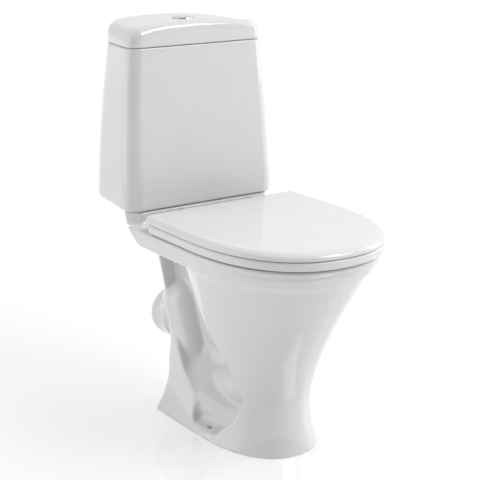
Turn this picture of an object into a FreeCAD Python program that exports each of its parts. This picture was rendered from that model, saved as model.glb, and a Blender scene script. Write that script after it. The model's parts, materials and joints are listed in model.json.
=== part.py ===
import FreeCAD, Part

import math
import os
import re

import Sketcher

# Close coupled toilet, in millimetres.  +Z is up, the floor is Z = 0, the wall behind is on the
# +Y side and a user sits facing -Y.  The origin is on the floor, at the middle of the outline.

os.makedirs("parts", exist_ok=True)
doc = FreeCAD.newDocument("CloseCoupledToilet")
vec = FreeCAD.Vector

# ------------------------------------------------------------------ driving dimensions
DIMENSIONS = {
    # whole toilet
    "wall_plane": 315,            # back of the cistern
    "seat_front": -315,           # front of the seat ring and lid
    # pan
    "foot_half_width": 106,
    "foot_front": -177,
    "foot_back": 165,
    "waist_height": 95,
    "waist_half_width": 91,
    "waist_front": -159,
    "rim_height": 400,
    "rim_half_width": 172,
    "rim_front": -309,
    "deck_underside": 362,
    "shelf_top": 424,
    "shelf_underside": 394,
    "shelf_half_width": 92,
    "shelf_back": 288,
    "foot_panel_half_width": 47,  # half width of the pedestal's back above the foot
    "web_half_width": 16,
    "web_foot_half_width": 61,    # the recesses get shallower towards the floor
    "leg_radius": 48,
    "leg_foot_radius": 66,
    "leg_foot": 96,               # place of the round leg's axis at the ledge,
    "leg_knee": 140,              # where its flare ends
    "leg_knee_height": 88,
    "leg_crown": 194,             # and at the middle of its domed top
    "leg_crown_height": 205,
    "ledge_height": 17,
    "floor_hole_radius": 4.25,
    "floor_hole_half_spacing": 85,
    "floor_hole_place": -7,
    "china_wall": 12,
    "bowl_half_width": 121,
    "bowl_half_length": 148,
    "bowl_middle": -117,
    "trap_radius": 34,
    "trap_wall": 11,
    "spigot_radius": 51,
    "spigot_bore": 42,
    "spigot_height": 165,
    "spigot_end": 265,
    "spigot_length": 17,
    "spigot_root_radius": 49,
    "spigot_room": 2.5,
    # cistern and its lid
    "cistern_bottom": 425.5,
    "cistern_top": 733,
    "cistern_bottom_front": 130,
    "cistern_top_front": 148,
    "cistern_bottom_half_width": 176,
    "cistern_top_half_width": 157,
    "cistern_wall": 10,
    "cistern_back_trim": 0.6,
    "lid_crown": 777.5,
    "lid_crown_radius": 1066,
    "lid_wall": 12,
    "lid_edge_radius": 14,
    # flush valve and cistern fixings
    "valve_place": 207,
    "valve_tail_radius": 29.5,
    "valve_bore": 24,
    "valve_hole_radius": 31,
    "gasket_recess_radius": 47,
    "gasket_recess_floor": 398,
    "flush_bore": 28,
    "flush_passage_radius": 20,
    "flush_passage_height": 366,
    "cistern_bolt_spread": 73,
    "cistern_bolt_radius": 3.5,
    "cistern_bolt_hole": 5.5,
    # filling valve
    "filler_side": 112,
    "filler_place": 251,
    "filler_tail_radius": 10.48,
    "filler_hole_radius": 12,
    "filler_arm_length": 24,
    # dual flush button
    "button_radius": 17.2,
    "button_split": 5,
    "button_gap": 0.8,
    "button_top": 780.2,
    "bezel_base": 752,
    "rod_bottom": 628,
    "button_hole_radius": 19.6,
    "full_rod_side": -7,
    "half_rod_side": 10.4,
    # seat
    "seat_half_width": 174.6,
    "seat_side_start": -78,
    "seat_power": 2.3,
    "ring_bottom": 404,
    "ring_top": 420,
    "ring_back": 72,
    "ring_opening_half_width": 108,
    "ring_opening_front": -250,
    "ring_opening_back": 22,
    "seat_lid_bottom": 421,
    "seat_lid_top": 438,
    "seat_lid_back": 81,
    "seat_lid_skin": 4.5,
    "hinge_place": 100,
    "hinge_height": 419,
    "hinge_half_spacing": 77.5,
    "hinge_pin_radius": 4,
    "running_gap": 0.06,
    "knuckle_radius": 8.5,
    "knuckle_width": 12,
    "post_radius": 10,
    "post_gap": 1,
    "seat_bolt_radius": 4,
    "seat_bolt_hole": 6,
    "seat_deck_thickness": 16,
}

sheet = doc.addObject("Spreadsheet::Sheet", "Sizes")
for row, (alias, value) in enumerate(DIMENSIONS.items(), start=1):
    sheet.set(f"A{row}", alias)
    sheet.set(f"B{row}", str(value))
    sheet.setAlias(f"B{row}", alias)
doc.recompute()

nodes = []
WORD = re.compile(r"[a-z]+(?:_[a-z]+)+")


def size(alias):
    """The number held in one cell of the sheet."""
    return float(getattr(sheet, alias))


def formula(text):
    """An expression in which every word with an underscore names a cell of the sheet."""
    return WORD.sub(lambda word: "Sizes." + word.group(0), str(text))


def bind(thing, **links):
    """Ties properties to formulas; a double underscore in a name stands for a dot."""
    for name, text in links.items():
        thing.setExpression(name.replace("__", "."), formula(text))


def place(thing, x=0, y=0, z=0):
    bind(thing, Placement__Base__x=x, Placement__Base__y=y, Placement__Base__z=z)


def node(label, thing):
    """Marks an object as one sub-part of the toilet."""
    thing.Label = label
    nodes.append(thing)
    return thing


# ------------------------------------------------------------------ general builders
def closed_sketch(body, plane, name, corners):
    """A closed outline of straight lines whose corners are tied to formulas."""
    sketch = body.newObject("Sketcher::SketchObject", name)
    support = next(item for item in body.Origin.OriginFeatures if item.Role == plane)
    sketch.AttachmentSupport = [(support, "")]
    sketch.MapMode = "FlatFace"
    count = len(corners)
    # a rough start shape with the same order of corners keeps the solver on the right branch
    rough = [vec(10 + 5 * math.cos(2 * math.pi * i / count),
                 10 + 5 * math.sin(2 * math.pi * i / count), 0) for i in range(count)]
    for i in range(count):
        sketch.addGeometry(Part.LineSegment(rough[i], rough[(i + 1) % count]), False)
    for i in range(count):
        sketch.addConstraint(Sketcher.Constraint("Coincident", i, 2, (i + 1) % count, 1))
    for i, (across, along) in enumerate(corners):
        for kind, axis, text in (("DistanceX", -2, across), ("DistanceY", -1, along)):
            if str(text) == "0":
                sketch.addConstraint(Sketcher.Constraint("PointOnObject", i, 1, axis))
                continue
            index = sketch.addConstraint(Sketcher.Constraint(kind, -1, 1, i, 1, 10.0))
            sketch.setExpression(f"Constraints[{index}]", formula(text))
    return sketch


def turned(name, profile, x=0, y=0, z=0):
    """A body revolved about its own upright axis from (radius, height) corners."""
    body = doc.addObject("PartDesign::Body", name)
    sketch = closed_sketch(body, "XZ_Plane", name + "_profile", profile)
    turn = body.newObject("PartDesign::Revolution", name + "_turn")
    turn.Profile = sketch
    turn.ReferenceAxis = (sketch, ["V_Axis"])
    turn.Angle = 360
    place(body, x, y, z)
    return body


def tube(name, inner, outer, length, x=0, y=0, z=0):
    """A plain ring or pipe standing on its own bottom face."""
    profile = [(inner, 0), (outer, 0), (outer, length), (inner, length)]
    return turned(name, profile, x, y, z)


def rod(name, radius, length, x=0, y=0, z=0):
    return turned(name, [(0, 0), (radius, 0), (radius, length), (0, length)], x, y, z)


def cylinder(name, radius, length, x=0, y=0, z=0, turn=None):
    """A cylinder primitive; turn is an axis to tip it over by a quarter turn."""
    item = doc.addObject("Part::Cylinder", name)
    bind(item, Radius=radius, Height=length)
    if turn:
        item.Placement = FreeCAD.Placement(vec(0, 0, 0), FreeCAD.Rotation(turn, 90))
    place(item, x, y, z)
    return item


def box(name, length, width, height, x=0, y=0, z=0):
    item = doc.addObject("Part::Box", name)
    bind(item, Length=length, Width=width, Height=height)
    place(item, x, y, z)
    return item


def hexagon(name, corner_radius, height, x=0, y=0, z=0):
    item = doc.addObject("Part::Prism", name)
    item.Polygon = 6
    bind(item, Circumradius=corner_radius, Height=height)
    place(item, x, y, z)
    return item


def joined(name, *items):
    whole = doc.addObject("Part::MultiFuse", name)
    whole.Shapes = list(items)
    return whole


def cut(name, base, tool):
    rest = doc.addObject("Part::Cut", name)
    rest.Base = base
    rest.Tool = tool
    return rest


def mirrored(name, item):
    """The same piece on the other side of the middle plane."""
    twin = doc.addObject("Part::Mirroring", name)
    twin.Source = item
    twin.Normal = (1, 0, 0)
    return twin


def group(name, *items):
    together = doc.addObject("Part::Compound", name)
    together.Links = list(items)
    return together


def both_sides(label, item):
    return node(label, group(label, item, mirrored(label + "_twin", item)))


def shaped(label, shape, at=(0, 0, 0)):
    """A sub-part whose free form shape is made here from the sizes in the sheet."""
    thing = doc.addObject("Part::Feature", label)
    thing.Shape = shape
    thing.Placement = FreeCAD.Placement(vec(*at), FreeCAD.Rotation())
    return node(label, thing)


# ------------------------------------------------------------------ free form outlines
def front_curve(half_width, side_y, front_y, z, power):
    """Half a superellipse, from the left side round the front to the right side."""
    steps = 12
    points = []
    for i in range(steps + 1):
        angle = math.pi * i / steps
        across = math.cos(angle)
        x = -half_width * math.copysign(abs(across) ** (2 / power), across)
        y = side_y - (side_y - front_y) * math.sin(angle) ** (2 / power) if 0 < i < steps else side_y
        points.append(vec(x, y, z))
    curve = Part.BSplineCurve()
    curve.interpolate(points, InitialTangent=vec(0, -1, 0), FinalTangent=vec(0, 1, 0))
    return curve.toShape()


def horseshoe(half_width, side_y, front_y, back_half_width, back_y, z, power):
    """A closed plan outline: rounded front, straight sides, straight back."""
    corners = [vec(half_width, side_y, z), vec(back_half_width, back_y, z),
               vec(-back_half_width, back_y, z), vec(-half_width, side_y, z)]
    lines = [Part.makeLine(corners[i], corners[i + 1]) for i in range(3)]
    return Part.Wire([front_curve(half_width, side_y, front_y, z, power)] + lines)


def polygon(points):
    return Part.makePolygon([vec(*p) for p in points] + [vec(*points[0])])


def ellipse(half_width, half_length, middle_y, z):
    curve = Part.Ellipse(vec(0, middle_y + half_length, z), vec(half_width, middle_y, z),
                         vec(0, middle_y, z))
    return Part.Wire([curve.toShape()])


def loft(wires, ruled=False):
    return Part.makeLoft(wires, True, ruled)


def cylinder_at(radius, length, base, axis):
    return Part.makeCylinder(radius, length, base, axis)


def pipe(points, radius):
    """Straight runs of pipe through the points (y, z) of the middle plane, with ball joints."""
    path = [vec(0, y, z) for y, z in points]
    solid = None
    for start, end in zip(path, path[1:]):
        run = cylinder_at(radius, (end - start).Length, start, end - start)
        solid = run if solid is None else solid.fuse(run)
    for middle in path[1:-1]:
        solid = solid.fuse(Part.makeSphere(radius + 0.3, middle))
    return solid


def on_both_sides(shape):
    return shape.fuse(shape.mirror(vec(0, 0, 0), vec(1, 0, 0)))


def rounded(shape, radius, wanted):
    """Fillets the edges for which wanted(middle of the edge) is true."""
    edges = [edge for edge in shape.Edges if wanted(edge)]
    return shape.makeFillet(radius, edges)


# ------------------------------------------------------------------ pan
def blend(low, high, share):
    return low + (high - low) * share


def column_sections(inset=0.0):
    """Plan outlines of the pedestal from the floor to the deck, waisted above the foot."""
    top, waist = size("rim_height"), size("waist_height")
    back = size("foot_back")
    web = size("foot_panel_half_width")
    stations = []
    for share in (0.0, 0.45, 1.0):
        ease = 1 - (1 - share) ** 2
        stations.append((waist * share,
                         blend(size("foot_half_width"), size("waist_half_width"), ease),
                         blend(size("foot_front"), size("waist_front"), ease),
                         blend(size("foot_half_width"), web + 16, ease), back + 16 * share))
    for share in (0.18, 0.41, 0.64, 0.82, 0.93):
        ease = share ** 1.45
        stations.append((blend(waist, top, share),
                         blend(size("waist_half_width"), size("rim_half_width"), ease),
                         blend(size("waist_front"), size("rim_front"), ease), web,
                         back + 16 + 64 * share + 40 * share ** 2))
    outlines = []
    for z, half, front, back_half, rear in stations:
        side = blend(2, size("seat_side_start"), z / top)
        outlines.append(horseshoe(half - inset, side, front + inset, back_half - inset,
                                  rear - inset, z, 2.33))
    return outlines


def bowl_space(grow=0.0):
    """The hollow of the bowl below the rim, an oval that narrows down to the sump."""
    top = size("deck_underside") + 18
    half, length, middle = (size("bowl_half_width"), size("bowl_half_length"),
                            size("bowl_middle"))
    sump = 92
    wires = [ellipse(half + 24 + grow, length + 20 + grow, middle + 2, top),
             ellipse(half - 4 + grow, length - 19 + grow, middle + 23, 300),
             ellipse(half - 36 + grow, length - 63 + grow, middle + 35, 220),
             ellipse(half - 69 + grow, length - 92 + grow, middle + 53, 150),
             ellipse(half - 83 + grow, length - 108 + grow, middle + 64, sump - grow)]
    return loft(wires)


def side_recess(grow=0.0):
    """One side's pocket between the column, the leg and the ledge, cut in from outside."""
    ledge = size("ledge_height") - grow
    deck = size("deck_underside") - 10
    corners = [(14, deck), (-26, 258), (-80, 177), (-104, 102), (-84, 58), (-40, ledge),
               (34, ledge), (48, 44), (121, 108), (180, 158), (207, 235), (246, deck)]
    far = size("foot_half_width") + 110
    deep, shallow = size("web_half_width") - grow, size("web_foot_half_width") - grow
    outline = polygon([(deep, y, z) for y, z in corners])
    if grow:
        outline = outline.makeOffset2D(grow)
    pocket = Part.Face(outline).extrude(vec(far, 0, 0))
    if not grow:
        pocket = rounded(pocket, 10, lambda edge: edge.BoundBox.XLength > 1)
    slope = polygon([(deep - 1, -200, -20), (shallow, -200, -20), (shallow, -200, 20),
                     (deep, -200, 120), (deep - 1, -200, 120)])
    return pocket.cut(Part.Face(slope).extrude(vec(0, 500, 0)))


def round_leg(inset=0.0):
    """The leg behind the pedestal: flared at the foot, leaning back, with a domed top."""
    radius = size("leg_radius") - inset
    foot = vec(0, size("leg_foot"), size("ledge_height"))
    knee = vec(0, size("leg_knee"), size("leg_knee_height"))
    crown = vec(0, size("leg_crown"), size("leg_crown_height"))
    flare = Part.makeCone(size("leg_foot_radius") - inset, radius + 1, (knee - foot).Length,
                          foot, knee - foot)
    return cylinder_at(radius, (crown - knee).Length, knee, crown - knee).fuse(
        [flare, Part.makeSphere(radius + 1, knee), Part.makeSphere(radius, crown)])


def trap_points():
    """The water way: down from the bowl, up inside the leg, over the weir and out."""
    outlet = size("spigot_height")
    return [(-45, 92), (112, 60), (148, 96), (190, 204), (210, 200), (224, outlet),
            (252, outlet)]


def pan_skin():
    """The outside of the pan as one solid, before anything is hollowed out."""
    rim, deck = size("rim_height"), size("deck_underside")
    side_start, power = size("seat_side_start"), size("seat_power")
    pedestal = loft(column_sections())
    wall = size("china_wall")
    bowl_shell = bowl_space(wall)
    half = size("rim_half_width")
    top_outline = horseshoe(half, side_start, size("rim_front"), half - 3, 148, rim, power)
    low_outline = horseshoe(half - 9, side_start, size("rim_front") + 26, half - 5, 112, deck,
                            power)
    rim_band = loft([low_outline, top_outline], True)
    shelf, back = size("shelf_top"), size("shelf_back")
    narrow = size("shelf_half_width")
    underside = size("shelf_underside")
    shelf_low = [(-148, 128), (-166, 146), (-narrow + 6, 214), (-narrow + 6, back - 6)]
    shelf_high = [(-146, 132), (-168, 165), (-narrow, 222), (-narrow, back)]
    shelf_block = loft([polygon([(x, y, z) for x, y in side]
                                + [(-x, y, z) for x, y in reversed(side)])
                        for side, z in ((shelf_low, underside), (shelf_high, shelf))], True)
    web_outline = [(-40, 20), (size("foot_back") - 20, 20), (232, deck - 40), (262, rim),
                   (-20, rim), (-60, 300)]
    web_half = size("web_half_width") + 0.5
    web = Part.Face(polygon([(-web_half, y, z) for y, z in web_outline]))
    web = web.extrude(vec(2 * web_half, 0, 0))
    above_floor = Part.makeBox(400, 400, 400, vec(-200, -100, 0))
    leg = round_leg().common(above_floor)
    passage_skin = cylinder_at(size("flush_passage_radius") + wall, size("valve_place"),
                               vec(0, 0, size("flush_passage_height")), vec(0, 1, 0))
    elbow = vec(0, size("valve_place"), size("flush_passage_height"))
    elbow_skin = Part.makeSphere(size("flush_bore") + wall, elbow).fuse(
        cylinder_at(size("flush_bore") + wall, rim - elbow.z, elbow, vec(0, 0, 1)))
    trap_skin = pipe(trap_points(), size("trap_radius") + size("trap_wall"))
    spigot_start = vec(0, size("spigot_end") - size("spigot_length"), size("spigot_height"))
    spigot = cylinder_at(size("spigot_radius"), size("spigot_length"), spigot_start,
                         vec(0, 1, 0))
    spigot_root = cylinder_at(size("spigot_root_radius"), 36, spigot_start, vec(0, -1, 0))
    # a connector slides over the spigot, so nothing else comes near it
    connector_room = cylinder_at(size("spigot_radius") + size("spigot_room"), 60,
                                 spigot_start, vec(0, 1, 0))
    skin = pedestal.cut(on_both_sides(side_recess())).fuse(
        [bowl_shell, web, leg, rim_band, shelf_block, trap_skin, passage_skin, elbow_skin])
    return skin.cut(connector_room).fuse([spigot, spigot_root])


def pan_underside():
    """The space inside the pedestal, open at the floor: what is left between the china walls."""
    wall = size("china_wall")
    trap_skin = pipe(trap_points(), size("trap_radius") + size("trap_wall"))
    roof = 205
    space = loft(column_sections(wall)).cut(on_both_sides(side_recess(wall)))
    space = space.fuse(round_leg(wall))
    space = space.cut(bowl_space(wall)).cut(trap_skin)
    space = space.common(Part.makeBox(400, 700, roof, vec(-200, -350, -1)))
    return max(space.Solids, key=lambda solid: solid.Volume)


def pan_water_ways():
    """The bowl with its mouth, the trap, the flushing passage and the outlet."""
    rim, deck = size("rim_height"), size("deck_underside")
    half, length, middle = size("bowl_half_width"), size("bowl_half_length"), size("bowl_middle")
    mouth = loft([ellipse(half, length, middle, deck + 10),
                  ellipse(half + 2, length + 2, middle, rim + 1)])
    passage_z, valve = size("flush_passage_height"), size("valve_place")
    up, back = vec(0, 0, 1), vec(0, 1, 0)
    passage = cylinder_at(size("flush_passage_radius"), valve, vec(0, 0, passage_z), back)
    elbow = Part.makeSphere(size("flush_bore") + 0.3, vec(0, valve, passage_z))
    drop = cylinder_at(size("flush_bore"), 60, vec(0, valve, passage_z), up)
    recess = cylinder_at(size("gasket_recess_radius"), 60,
                         vec(0, valve, size("gasket_recess_floor")), up)
    outlet = cylinder_at(size("spigot_bore"), 60,
                         vec(0, size("spigot_end") - 42, size("spigot_height")), back)
    return [bowl_space(), mouth, pipe(trap_points(), size("trap_radius")), passage, elbow, drop,
            recess, outlet]


def pan_holes():
    """Clearance under the deck for the seat nuts, and the fixing holes, on both sides."""
    rim, up = size("rim_height"), vec(0, 0, 1)
    pocket = Part.makeBox(92, 56, 60, vec(58, 60, rim - size("seat_deck_thickness") - 60))
    seat_hole = cylinder_at(size("seat_bolt_hole"), 60,
                            vec(size("hinge_half_spacing"), size("hinge_place"), rim - 55), up)
    cistern_hole = cylinder_at(size("cistern_bolt_hole"), 80,
                               vec(size("cistern_bolt_spread"), size("valve_place"),
                                   size("shelf_top") - 60), up)
    floor_hole = cylinder_at(size("floor_hole_radius"), 60,
                             vec(size("floor_hole_half_spacing"), size("floor_hole_place"), -1),
                             up)
    return [on_both_sides(tool) for tool in (pocket, seat_hole, cistern_hole, floor_hole)]


def make_pan():
    return pan_skin().cut([pan_underside()] + pan_water_ways() + pan_holes())


# ------------------------------------------------------------------ cistern and lid
def arc_corner(corner, before, after, radius):
    """The two tangent points and the middle point of a rounded corner."""
    to_before = (before - corner).normalize()
    to_after = (after - corner).normalize()
    half_angle = to_before.getAngle(to_after) / 2
    reach = radius / math.tan(half_angle)
    bisector = (to_before + to_after).normalize()
    middle = corner + bisector * (radius / math.sin(half_angle) - radius)
    return corner + to_before * reach, middle, corner + to_after * reach


def cistern_outline(share, inset=0.0, z=None):
    """Plan outline at a share of the cistern's height: it narrows upwards and to the rear."""
    front = blend(size("cistern_bottom_front"), size("cistern_top_front"), share) + inset
    half = blend(size("cistern_bottom_half_width"), size("cistern_top_half_width"), share ** 1.35)
    slope = 0.075 + 0.09 * share ** 2.2
    rear = size("wall_plane") + size("cistern_back_trim") - inset
    rear_half = half - slope * (rear - front) - inset
    half = half - inset
    front_radius = max(blend(32, 24, share) - inset, 6)
    rear_radius = max(blend(64, 72, share) - inset, 6)
    height = z if z is not None else blend(size("cistern_bottom"), size("cistern_top"), share)
    corners = [vec(-half, front, height), vec(half, front, height),
               vec(rear_half, rear, height), vec(-rear_half, rear, height)]
    radii = [front_radius, front_radius, rear_radius, rear_radius]
    bends = [arc_corner(corners[i], corners[i - 1], corners[(i + 1) % 4], radii[i])
             for i in range(4)]
    edges = []
    for i in range(4):
        start, middle, end = bends[i]
        edges.append(Part.Arc(start, middle, end).toShape())
        edges.append(Part.makeLine(end, bends[(i + 1) % 4][0]))
    return Part.Wire(edges)


def in_front_of_wall():
    """The room that the cistern and its lid may fill; it gives both a flat back."""
    return Part.makeBox(600, 500, 1000, vec(-300, size("wall_plane") - 500, 0))


def make_cistern():
    shares = [0.0, 0.3, 0.6, 0.85, 1.0]
    body = loft([cistern_outline(share) for share in shares])
    wall = size("cistern_wall")
    floor = size("cistern_bottom") + size("china_wall")
    inner = [cistern_outline(0.0, wall, floor)]
    inner += [cistern_outline(share, wall) for share in shares[1:]]
    inner += [cistern_outline(1.0, wall, size("cistern_top") + 5)]
    body = body.cut(loft(inner)).common(in_front_of_wall())
    valve = size("valve_place")
    holes = [(0, valve, size("valve_hole_radius")),
             (size("cistern_bolt_spread"), valve, size("cistern_bolt_hole")),
             (-size("cistern_bolt_spread"), valve, size("cistern_bolt_hole")),
             (size("filler_side"), size("filler_place"), size("filler_hole_radius"))]
    for x, y, radius in holes:
        body = body.cut(cylinder_at(radius, 60, vec(x, y, size("cistern_bottom") - 10),
                                    vec(0, 0, 1)))
    return body


def dome_prism(crown, radius):
    """Everything under a crown that arches from side to side."""
    reach = 200
    drop = radius - math.sqrt(radius ** 2 - reach ** 2)
    left, right = vec(-reach, 100, crown - drop), vec(reach, 100, crown - drop)
    low_left, low_right = vec(-reach, 100, 700), vec(reach, 100, 700)
    edges = [Part.Arc(left, vec(0, 100, crown), right).toShape(),
             Part.makeLine(right, low_right), Part.makeLine(low_right, low_left),
             Part.makeLine(low_left, left)]
    return Part.Face(Part.Wire(edges)).extrude(vec(0, 260, 0))


def make_cistern_lid():
    base, crown = size("cistern_top"), size("lid_crown")
    radius = size("lid_crown_radius")
    wall = size("lid_wall")
    block = loft([cistern_outline(1.0, 0.0, base), cistern_outline(1.0, 1.5, crown + 10)], True)
    block = block.common(dome_prism(crown, radius))
    block = rounded(block, size("lid_edge_radius"),
                    lambda edge: edge.BoundBox.ZMin > base + 15)
    inside = loft([cistern_outline(1.0, wall, base - 1), cistern_outline(1.0, wall, crown)], True)
    inside = inside.common(dome_prism(crown - wall, radius))
    block = block.cut(inside)
    inner = size("cistern_wall")
    lip = loft([cistern_outline(1.0, inner + 3, base - 12),
                cistern_outline(1.0, inner + 3, base + 8)], True)
    lip = lip.fuse(loft([cistern_outline(1.0, wall - 2, base + 1),
                         cistern_outline(1.0, wall - 2, base + 8)], True))
    lip = lip.cut(loft([cistern_outline(1.0, inner + 9, base - 13),
                        cistern_outline(1.0, inner + 9, base + 9)], True))
    hole = cylinder_at(size("button_hole_radius"), 80, vec(0, size("valve_place"), base + 5),
                       vec(0, 0, 1))
    return block.fuse(lip).cut(hole).common(in_front_of_wall())


# ------------------------------------------------------------------ seat
def seat_block(low, high, back, inset=0.0, corner=14.0):
    """The seat's plan outline pulled up into a slab, with round rear corners."""
    half = size("seat_half_width") - inset
    outline = horseshoe(half, size("seat_side_start"), size("seat_front") + inset, half - 1.5,
                        back - inset, low, size("seat_power"))
    slab = Part.Face(outline).extrude(vec(0, 0, high - low))
    return rounded(slab, corner - inset,
                   lambda edge: edge.BoundBox.ZLength > 1 and edge.BoundBox.YMin > back - inset - 2)


def knuckle(low_x, slab_low, slab_high, slab_front):
    """A hinge eye of the ring or lid on the right side, with the arm that carries it."""
    width = size("knuckle_width")
    place_y, place_z = size("hinge_place"), size("hinge_height")
    eye = cylinder_at(size("knuckle_radius"), width, vec(low_x, place_y, place_z), vec(1, 0, 0))
    arm = Part.makeBox(width, place_y - slab_front, slab_high - slab_low,
                       vec(low_x, slab_front, slab_low))
    return eye.fuse(arm)


def pin_bores():
    radius = size("hinge_pin_radius") + size("running_gap")
    return cylinder_at(radius, 300, vec(-150, size("hinge_place"), size("hinge_height")),
                       vec(1, 0, 0))


def make_ring():
    low, high = size("ring_bottom"), size("ring_top")
    slab = seat_block(low, high, size("ring_back"))
    slab = rounded(slab, 4, lambda edge: edge.BoundBox.ZMin > high - 0.1)
    front, back = size("ring_opening_front"), size("ring_opening_back")
    middle = (front + back) / 2
    opening = loft([ellipse(size("ring_opening_half_width"), (back - front) / 2, middle, low - 1),
                    ellipse(size("ring_opening_half_width"), (back - front) / 2, middle, high + 1)])
    slab = slab.cut(opening)
    outer_x = size("hinge_half_spacing") + size("post_radius") + size("post_gap")
    eye = knuckle(outer_x, size("hinge_height") - size("knuckle_radius") + 0.5, high - 0.5,
                  size("ring_back") - 6)
    return slab.fuse(on_both_sides(eye)).cut(pin_bores())


def make_seat_lid():
    low, high = size("seat_lid_bottom"), size("seat_lid_top")
    skin = size("seat_lid_skin")
    slab = seat_block(low, high, size("seat_lid_back"))
    slab = rounded(slab, 10, lambda edge: edge.BoundBox.ZMin > high - 0.1)
    inside = seat_block(low - 1, high - skin, size("seat_lid_back"), skin)
    inside = rounded(inside, 6, lambda edge: edge.BoundBox.ZMin > high - skin - 0.1)
    slab = slab.cut(inside)
    inner_x = (size("hinge_half_spacing") - size("post_radius") - size("post_gap")
               - size("knuckle_width"))
    eye = knuckle(inner_x, size("hinge_height"), size("hinge_height") + size("knuckle_radius"),
                  size("seat_lid_back") - skin + 1)
    return slab.fuse(on_both_sides(eye)).cut(pin_bores())


def make_spring(coil_radius, wire, turns, length):
    """A compression spring whose round wire is drawn with eight sides."""
    height = length - wire
    helix = Part.makeHelix(height / turns, height, coil_radius)
    start = helix.Vertexes[0].Point
    corners = [start + vec(math.cos(math.pi * i / 4), 0, math.sin(math.pi * i / 4)) * (wire / 2)
               for i in range(8)]
    ring = Part.makePolygon(corners + corners[:1])
    return Part.Wire(helix).makePipeShell([ring], True, True)


# ------------------------------------------------------------------ ceramic, seat and springs
shaped("pan", make_pan())
shaped("cistern", make_cistern())
shaped("cistern_lid", make_cistern_lid())
shaped("seat_ring", make_ring())
shaped("seat_lid", make_seat_lid())

# ------------------------------------------------------------------ seat hinges and fixings
post_height = "hinge_height + post_radius - rim_height"
stem = turned("hinge_stem", [
    ("seat_bolt_radius + running_gap", 0), ("post_radius + 4", 0), ("post_radius + 4", 4),
    ("post_radius", 6), ("post_radius", post_height + " - 4"),
    ("post_radius - 4", post_height), (0, post_height), (0, 8),
    ("seat_bolt_radius + running_gap", 8)],
    "hinge_half_spacing", "hinge_place", "rim_height")
post_bore = cylinder("hinge_post_bore", "hinge_pin_radius + running_gap", "4 * post_radius",
                     "hinge_half_spacing - 2 * post_radius", "hinge_place", "hinge_height",
                     vec(0, 1, 0))
right_post = node("hinge_post_right", cut("hinge_post_right", stem, post_bore))
node("hinge_post_left", mirrored("hinge_post_left", right_post))

pin_reach = "post_radius + post_gap + knuckle_width"
pin_shaft = cylinder("hinge_pin_shaft", "hinge_pin_radius", f"2 * ({pin_reach}) + 1",
                     f"hinge_half_spacing - ({pin_reach})", "hinge_place", "hinge_height",
                     vec(0, 1, 0))
pin_head = cylinder("hinge_pin_head", "hinge_pin_radius + 2.5", 3,
                    f"hinge_half_spacing + ({pin_reach}) + 0.5", "hinge_place", "hinge_height",
                    vec(0, 1, 0))
right_pin = node("hinge_pin_right", joined("hinge_pin_right", pin_shaft, pin_head))
node("hinge_pin_left", mirrored("hinge_pin_left", right_pin))

deck_low = "rim_height - seat_deck_thickness"
both_sides("seat_bolts", rod("seat_bolt", "seat_bolt_radius", "44", "hinge_half_spacing",
                             "hinge_place", "rim_height - 37"))
both_sides("seat_washers", turned("seat_washer", [
    ("seat_bolt_radius + running_gap", 0), (12, 0), (12, 3), (5.6, 3), (5.6, 11),
    ("seat_bolt_radius + running_gap", 11)],
    "hinge_half_spacing", "hinge_place", f"{deck_low} - 3"))


def wing_nut(label, bolt_radius, x, y, top):
    """A boss with two flat wings, screwed up against the surface at top."""
    boss = rod(label + "_boss", f"{bolt_radius} + 4.5", 9, x, y, f"{top} - 9")
    wings = box(label + "_wings", 3, 28, 8, f"{x} - 1.5", f"{y} - 14", f"{top} - 13")
    bore = cylinder(label + "_bore", f"{bolt_radius} + running_gap", 30, x, y, f"{top} - 20")
    return cut(label, joined(label + "_solid", boss, wings), bore)


both_sides("seat_nuts", wing_nut("seat_nut", "seat_bolt_radius", "hinge_half_spacing",
                                 "hinge_place", f"{deck_low} - 3"))


def buffer_set(label, radius, low, high, spots):
    """Round rubber buffers at (half spacing, place) spots, one on each side."""
    pads = []
    for i, (side, spot) in enumerate(spots):
        pad = rod(f"{label}_pad_{i}", radius, f"{high} - {low}", side, spot, low)
        pads += [pad, mirrored(f"{label}_twin_{i}", pad)]
    return node(label, group(label, *pads))


buffer_set("ring_buffers", 8, "rim_height", "ring_bottom", [(95, -252), (144, 20)])
buffer_set("lid_buffers", 6, "ring_top", "seat_lid_top - seat_lid_skin", [(80, -265), (138, 40)])

# ------------------------------------------------------------------ dual flush button
bezel_rest = "lid_crown + 0.1 - bezel_base"
bezel_top = "lid_crown + 2.2 - bezel_base"
bezel = turned("bezel_ring", [
    (0, 0), ("button_radius + 1.9", 0), ("button_radius + 1.9", bezel_rest),
    ("button_radius + 4.3", bezel_rest), ("button_radius + 3.3", bezel_top),
    ("button_radius + 0.4", bezel_top), ("button_radius + 0.4", 3), (0, 3)],
    0, "valve_place", "bezel_base")
rod_holes = joined("bezel_rod_holes",
                   cylinder("bezel_full_hole", 3.4, 20, "full_rod_side", "valve_place",
                            "bezel_base - 7"),
                   cylinder("bezel_half_hole", 3.4, 20, "half_rod_side", "valve_place",
                            "bezel_base - 7"))
node("button_bezel", cut("button_bezel", bezel, rod_holes))
node("button_collar_nut", tube("button_collar_nut", "button_radius + 2",
                               "button_radius + 8", 7, 0, "valve_place",
                               "lid_crown - lid_wall - 7.8"))


def button_half(label, keep_low, keep_length):
    """One part of the split button: a thin shell like a D, open below."""
    disc = turned(label + "_disc", [
        ("button_radius - 2", 0), ("button_radius", 0), ("button_radius", 8.8),
        ("button_radius - 1.2", 10), (0, 10), (0, 7.6), ("button_radius - 2", 7.6)],
        0, "valve_place", "button_top - 10")
    strip = box(label + "_strip", keep_length, 60, 30, keep_low, "valve_place - 30",
                "button_top - 20")
    part = doc.addObject("Part::Common", label + "_shell")
    part.Base = disc
    part.Tool = strip
    return part


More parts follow.
